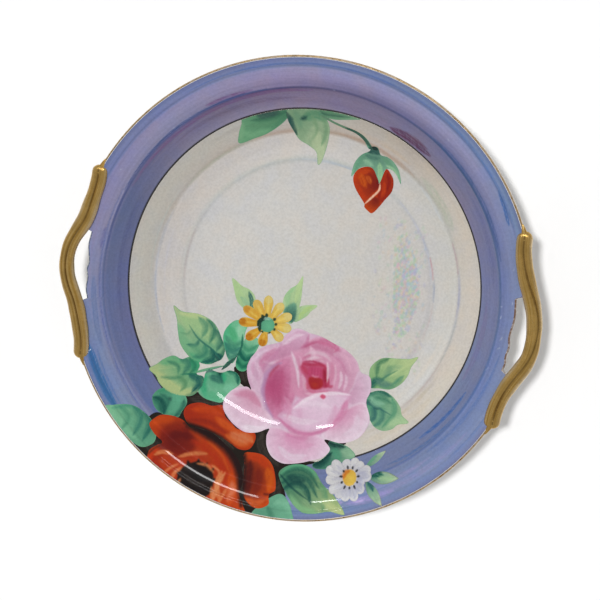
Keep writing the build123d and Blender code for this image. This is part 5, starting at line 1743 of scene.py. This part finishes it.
for node, loops in SHAPES.items():
    limit = STRIPE_IN_R if node in ("bud", "bud_stem", "top_leaves") else EDGE_R
    piece, xy = painted_piece("painted_" + node, loops, LAYER[node], limit)
    canvas = Canvas(piece, xy, GROUND.get(node, (92, 143, 118)))
    PAINTERS[node](canvas)
    canvas.finish(ENAMEL_SHEEN)
    dress(piece, enamel_material(node + "_enamel"), node)


# ---------------------------------------------------------------- studio
# the view of the photograph, fitted by the dish's round rim and the black line
CAMERA_TURN = math.radians(8.9)
toward = Vector((0.1599, 0.1163, 0.9803)).normalized()
along_x = Vector((toward.z, 0, -toward.x)).normalized()
along_y = toward.cross(along_x)
frame_turn = Matrix.Rotation(CAMERA_TURN, 3, "Z")
axes = frame_turn @ Matrix((along_x, along_y, toward)).transposed()
camera_data = bpy.data.cameras.new("camera")
camera_data.sensor_width = 36.0
camera_data.lens = 119.4
camera_data.shift_x = -0.01467
camera_data.shift_y = -0.0288
camera_data.clip_start = 0.01
camera = bpy.data.objects.new("camera", camera_data)
bpy.context.scene.collection.objects.link(camera)
camera.matrix_world = Matrix.Translation(frame_turn @ toward * 1.0) @ axes.to_4x4()
bpy.context.scene.camera = camera

floor_mesh = bpy.data.meshes.new("studio_floor")
floor_mesh.from_pydata([(-3, -3, 0), (3, -3, 0), (3, 3, 0), (-3, 3, 0)], [], [(0, 1, 2, 3)])
floor = bpy.data.objects.new("studio_floor", floor_mesh)
bpy.context.scene.collection.objects.link(floor)
paper = simple_material("studio_paper", grey(0.89), grey(0.91), scale=3.0, smooth=0.9, rough=1.0)
floor.data.materials.append(paper)

sun_data = bpy.data.lights.new("soft_sun", "SUN")
sun_data.energy = 2.04
sun_data.angle = math.radians(6)
sun = bpy.data.objects.new("soft_sun", sun_data)
sun.rotation_mode = "QUATERNION"
sun.rotation_quaternion = Vector((-0.10, 0.17, 1)).to_track_quat("Z", "Y")
sun.visible_glossy = False
bpy.context.scene.collection.objects.link(sun)

world = bpy.data.worlds.new("studio")
world.use_nodes = True
world.node_tree.nodes["Background"].inputs[0].default_value = (1, 1, 1, 1)
world.node_tree.nodes["Background"].inputs[1].default_value = 0.5
bpy.context.scene.world = world


def strip_light(name, start, end, width, radiance, height=1.2):
    """A long lamp that shows only as a streak in the glaze."""
    start, end = Vector((*start, height)), Vector((*end, height))
    run = end - start
    data = bpy.data.lights.new(name, "AREA")
    data.shape = "RECTANGLE"
    data.size = run.length
    data.size_y = width
    data.energy = radiance * math.pi * run.length * width
    lamp = bpy.data.objects.new(name, data)
    middle = (start + end) / 2
    face = (middle - Vector((0, 0, 0.03))).normalized()
    side = run.normalized()
    up = face.cross(side).normalized()
    face = side.cross(up)
    lamp.matrix_world = Matrix.Translation(middle) @ Matrix((side, up, face)).transposed().to_4x4()
    lamp.visible_diffuse = False
    bpy.context.scene.collection.objects.link(lamp)


TUBE = [(0.239, 0.555), (0.102, 0.620), (-0.046, 0.663), (-0.170, 0.680)]
for number, (start, end) in enumerate(zip(TUBE, TUBE[1:])):
    strip_light(f"tube_{number}", start, end, width=0.12, radiance=19.0)
strip_light("tube_far", (-0.410, 0.668), (-0.523, 0.641), width=0.10, radiance=30.0)

bpy.context.scene.view_settings.view_transform = "Standard"
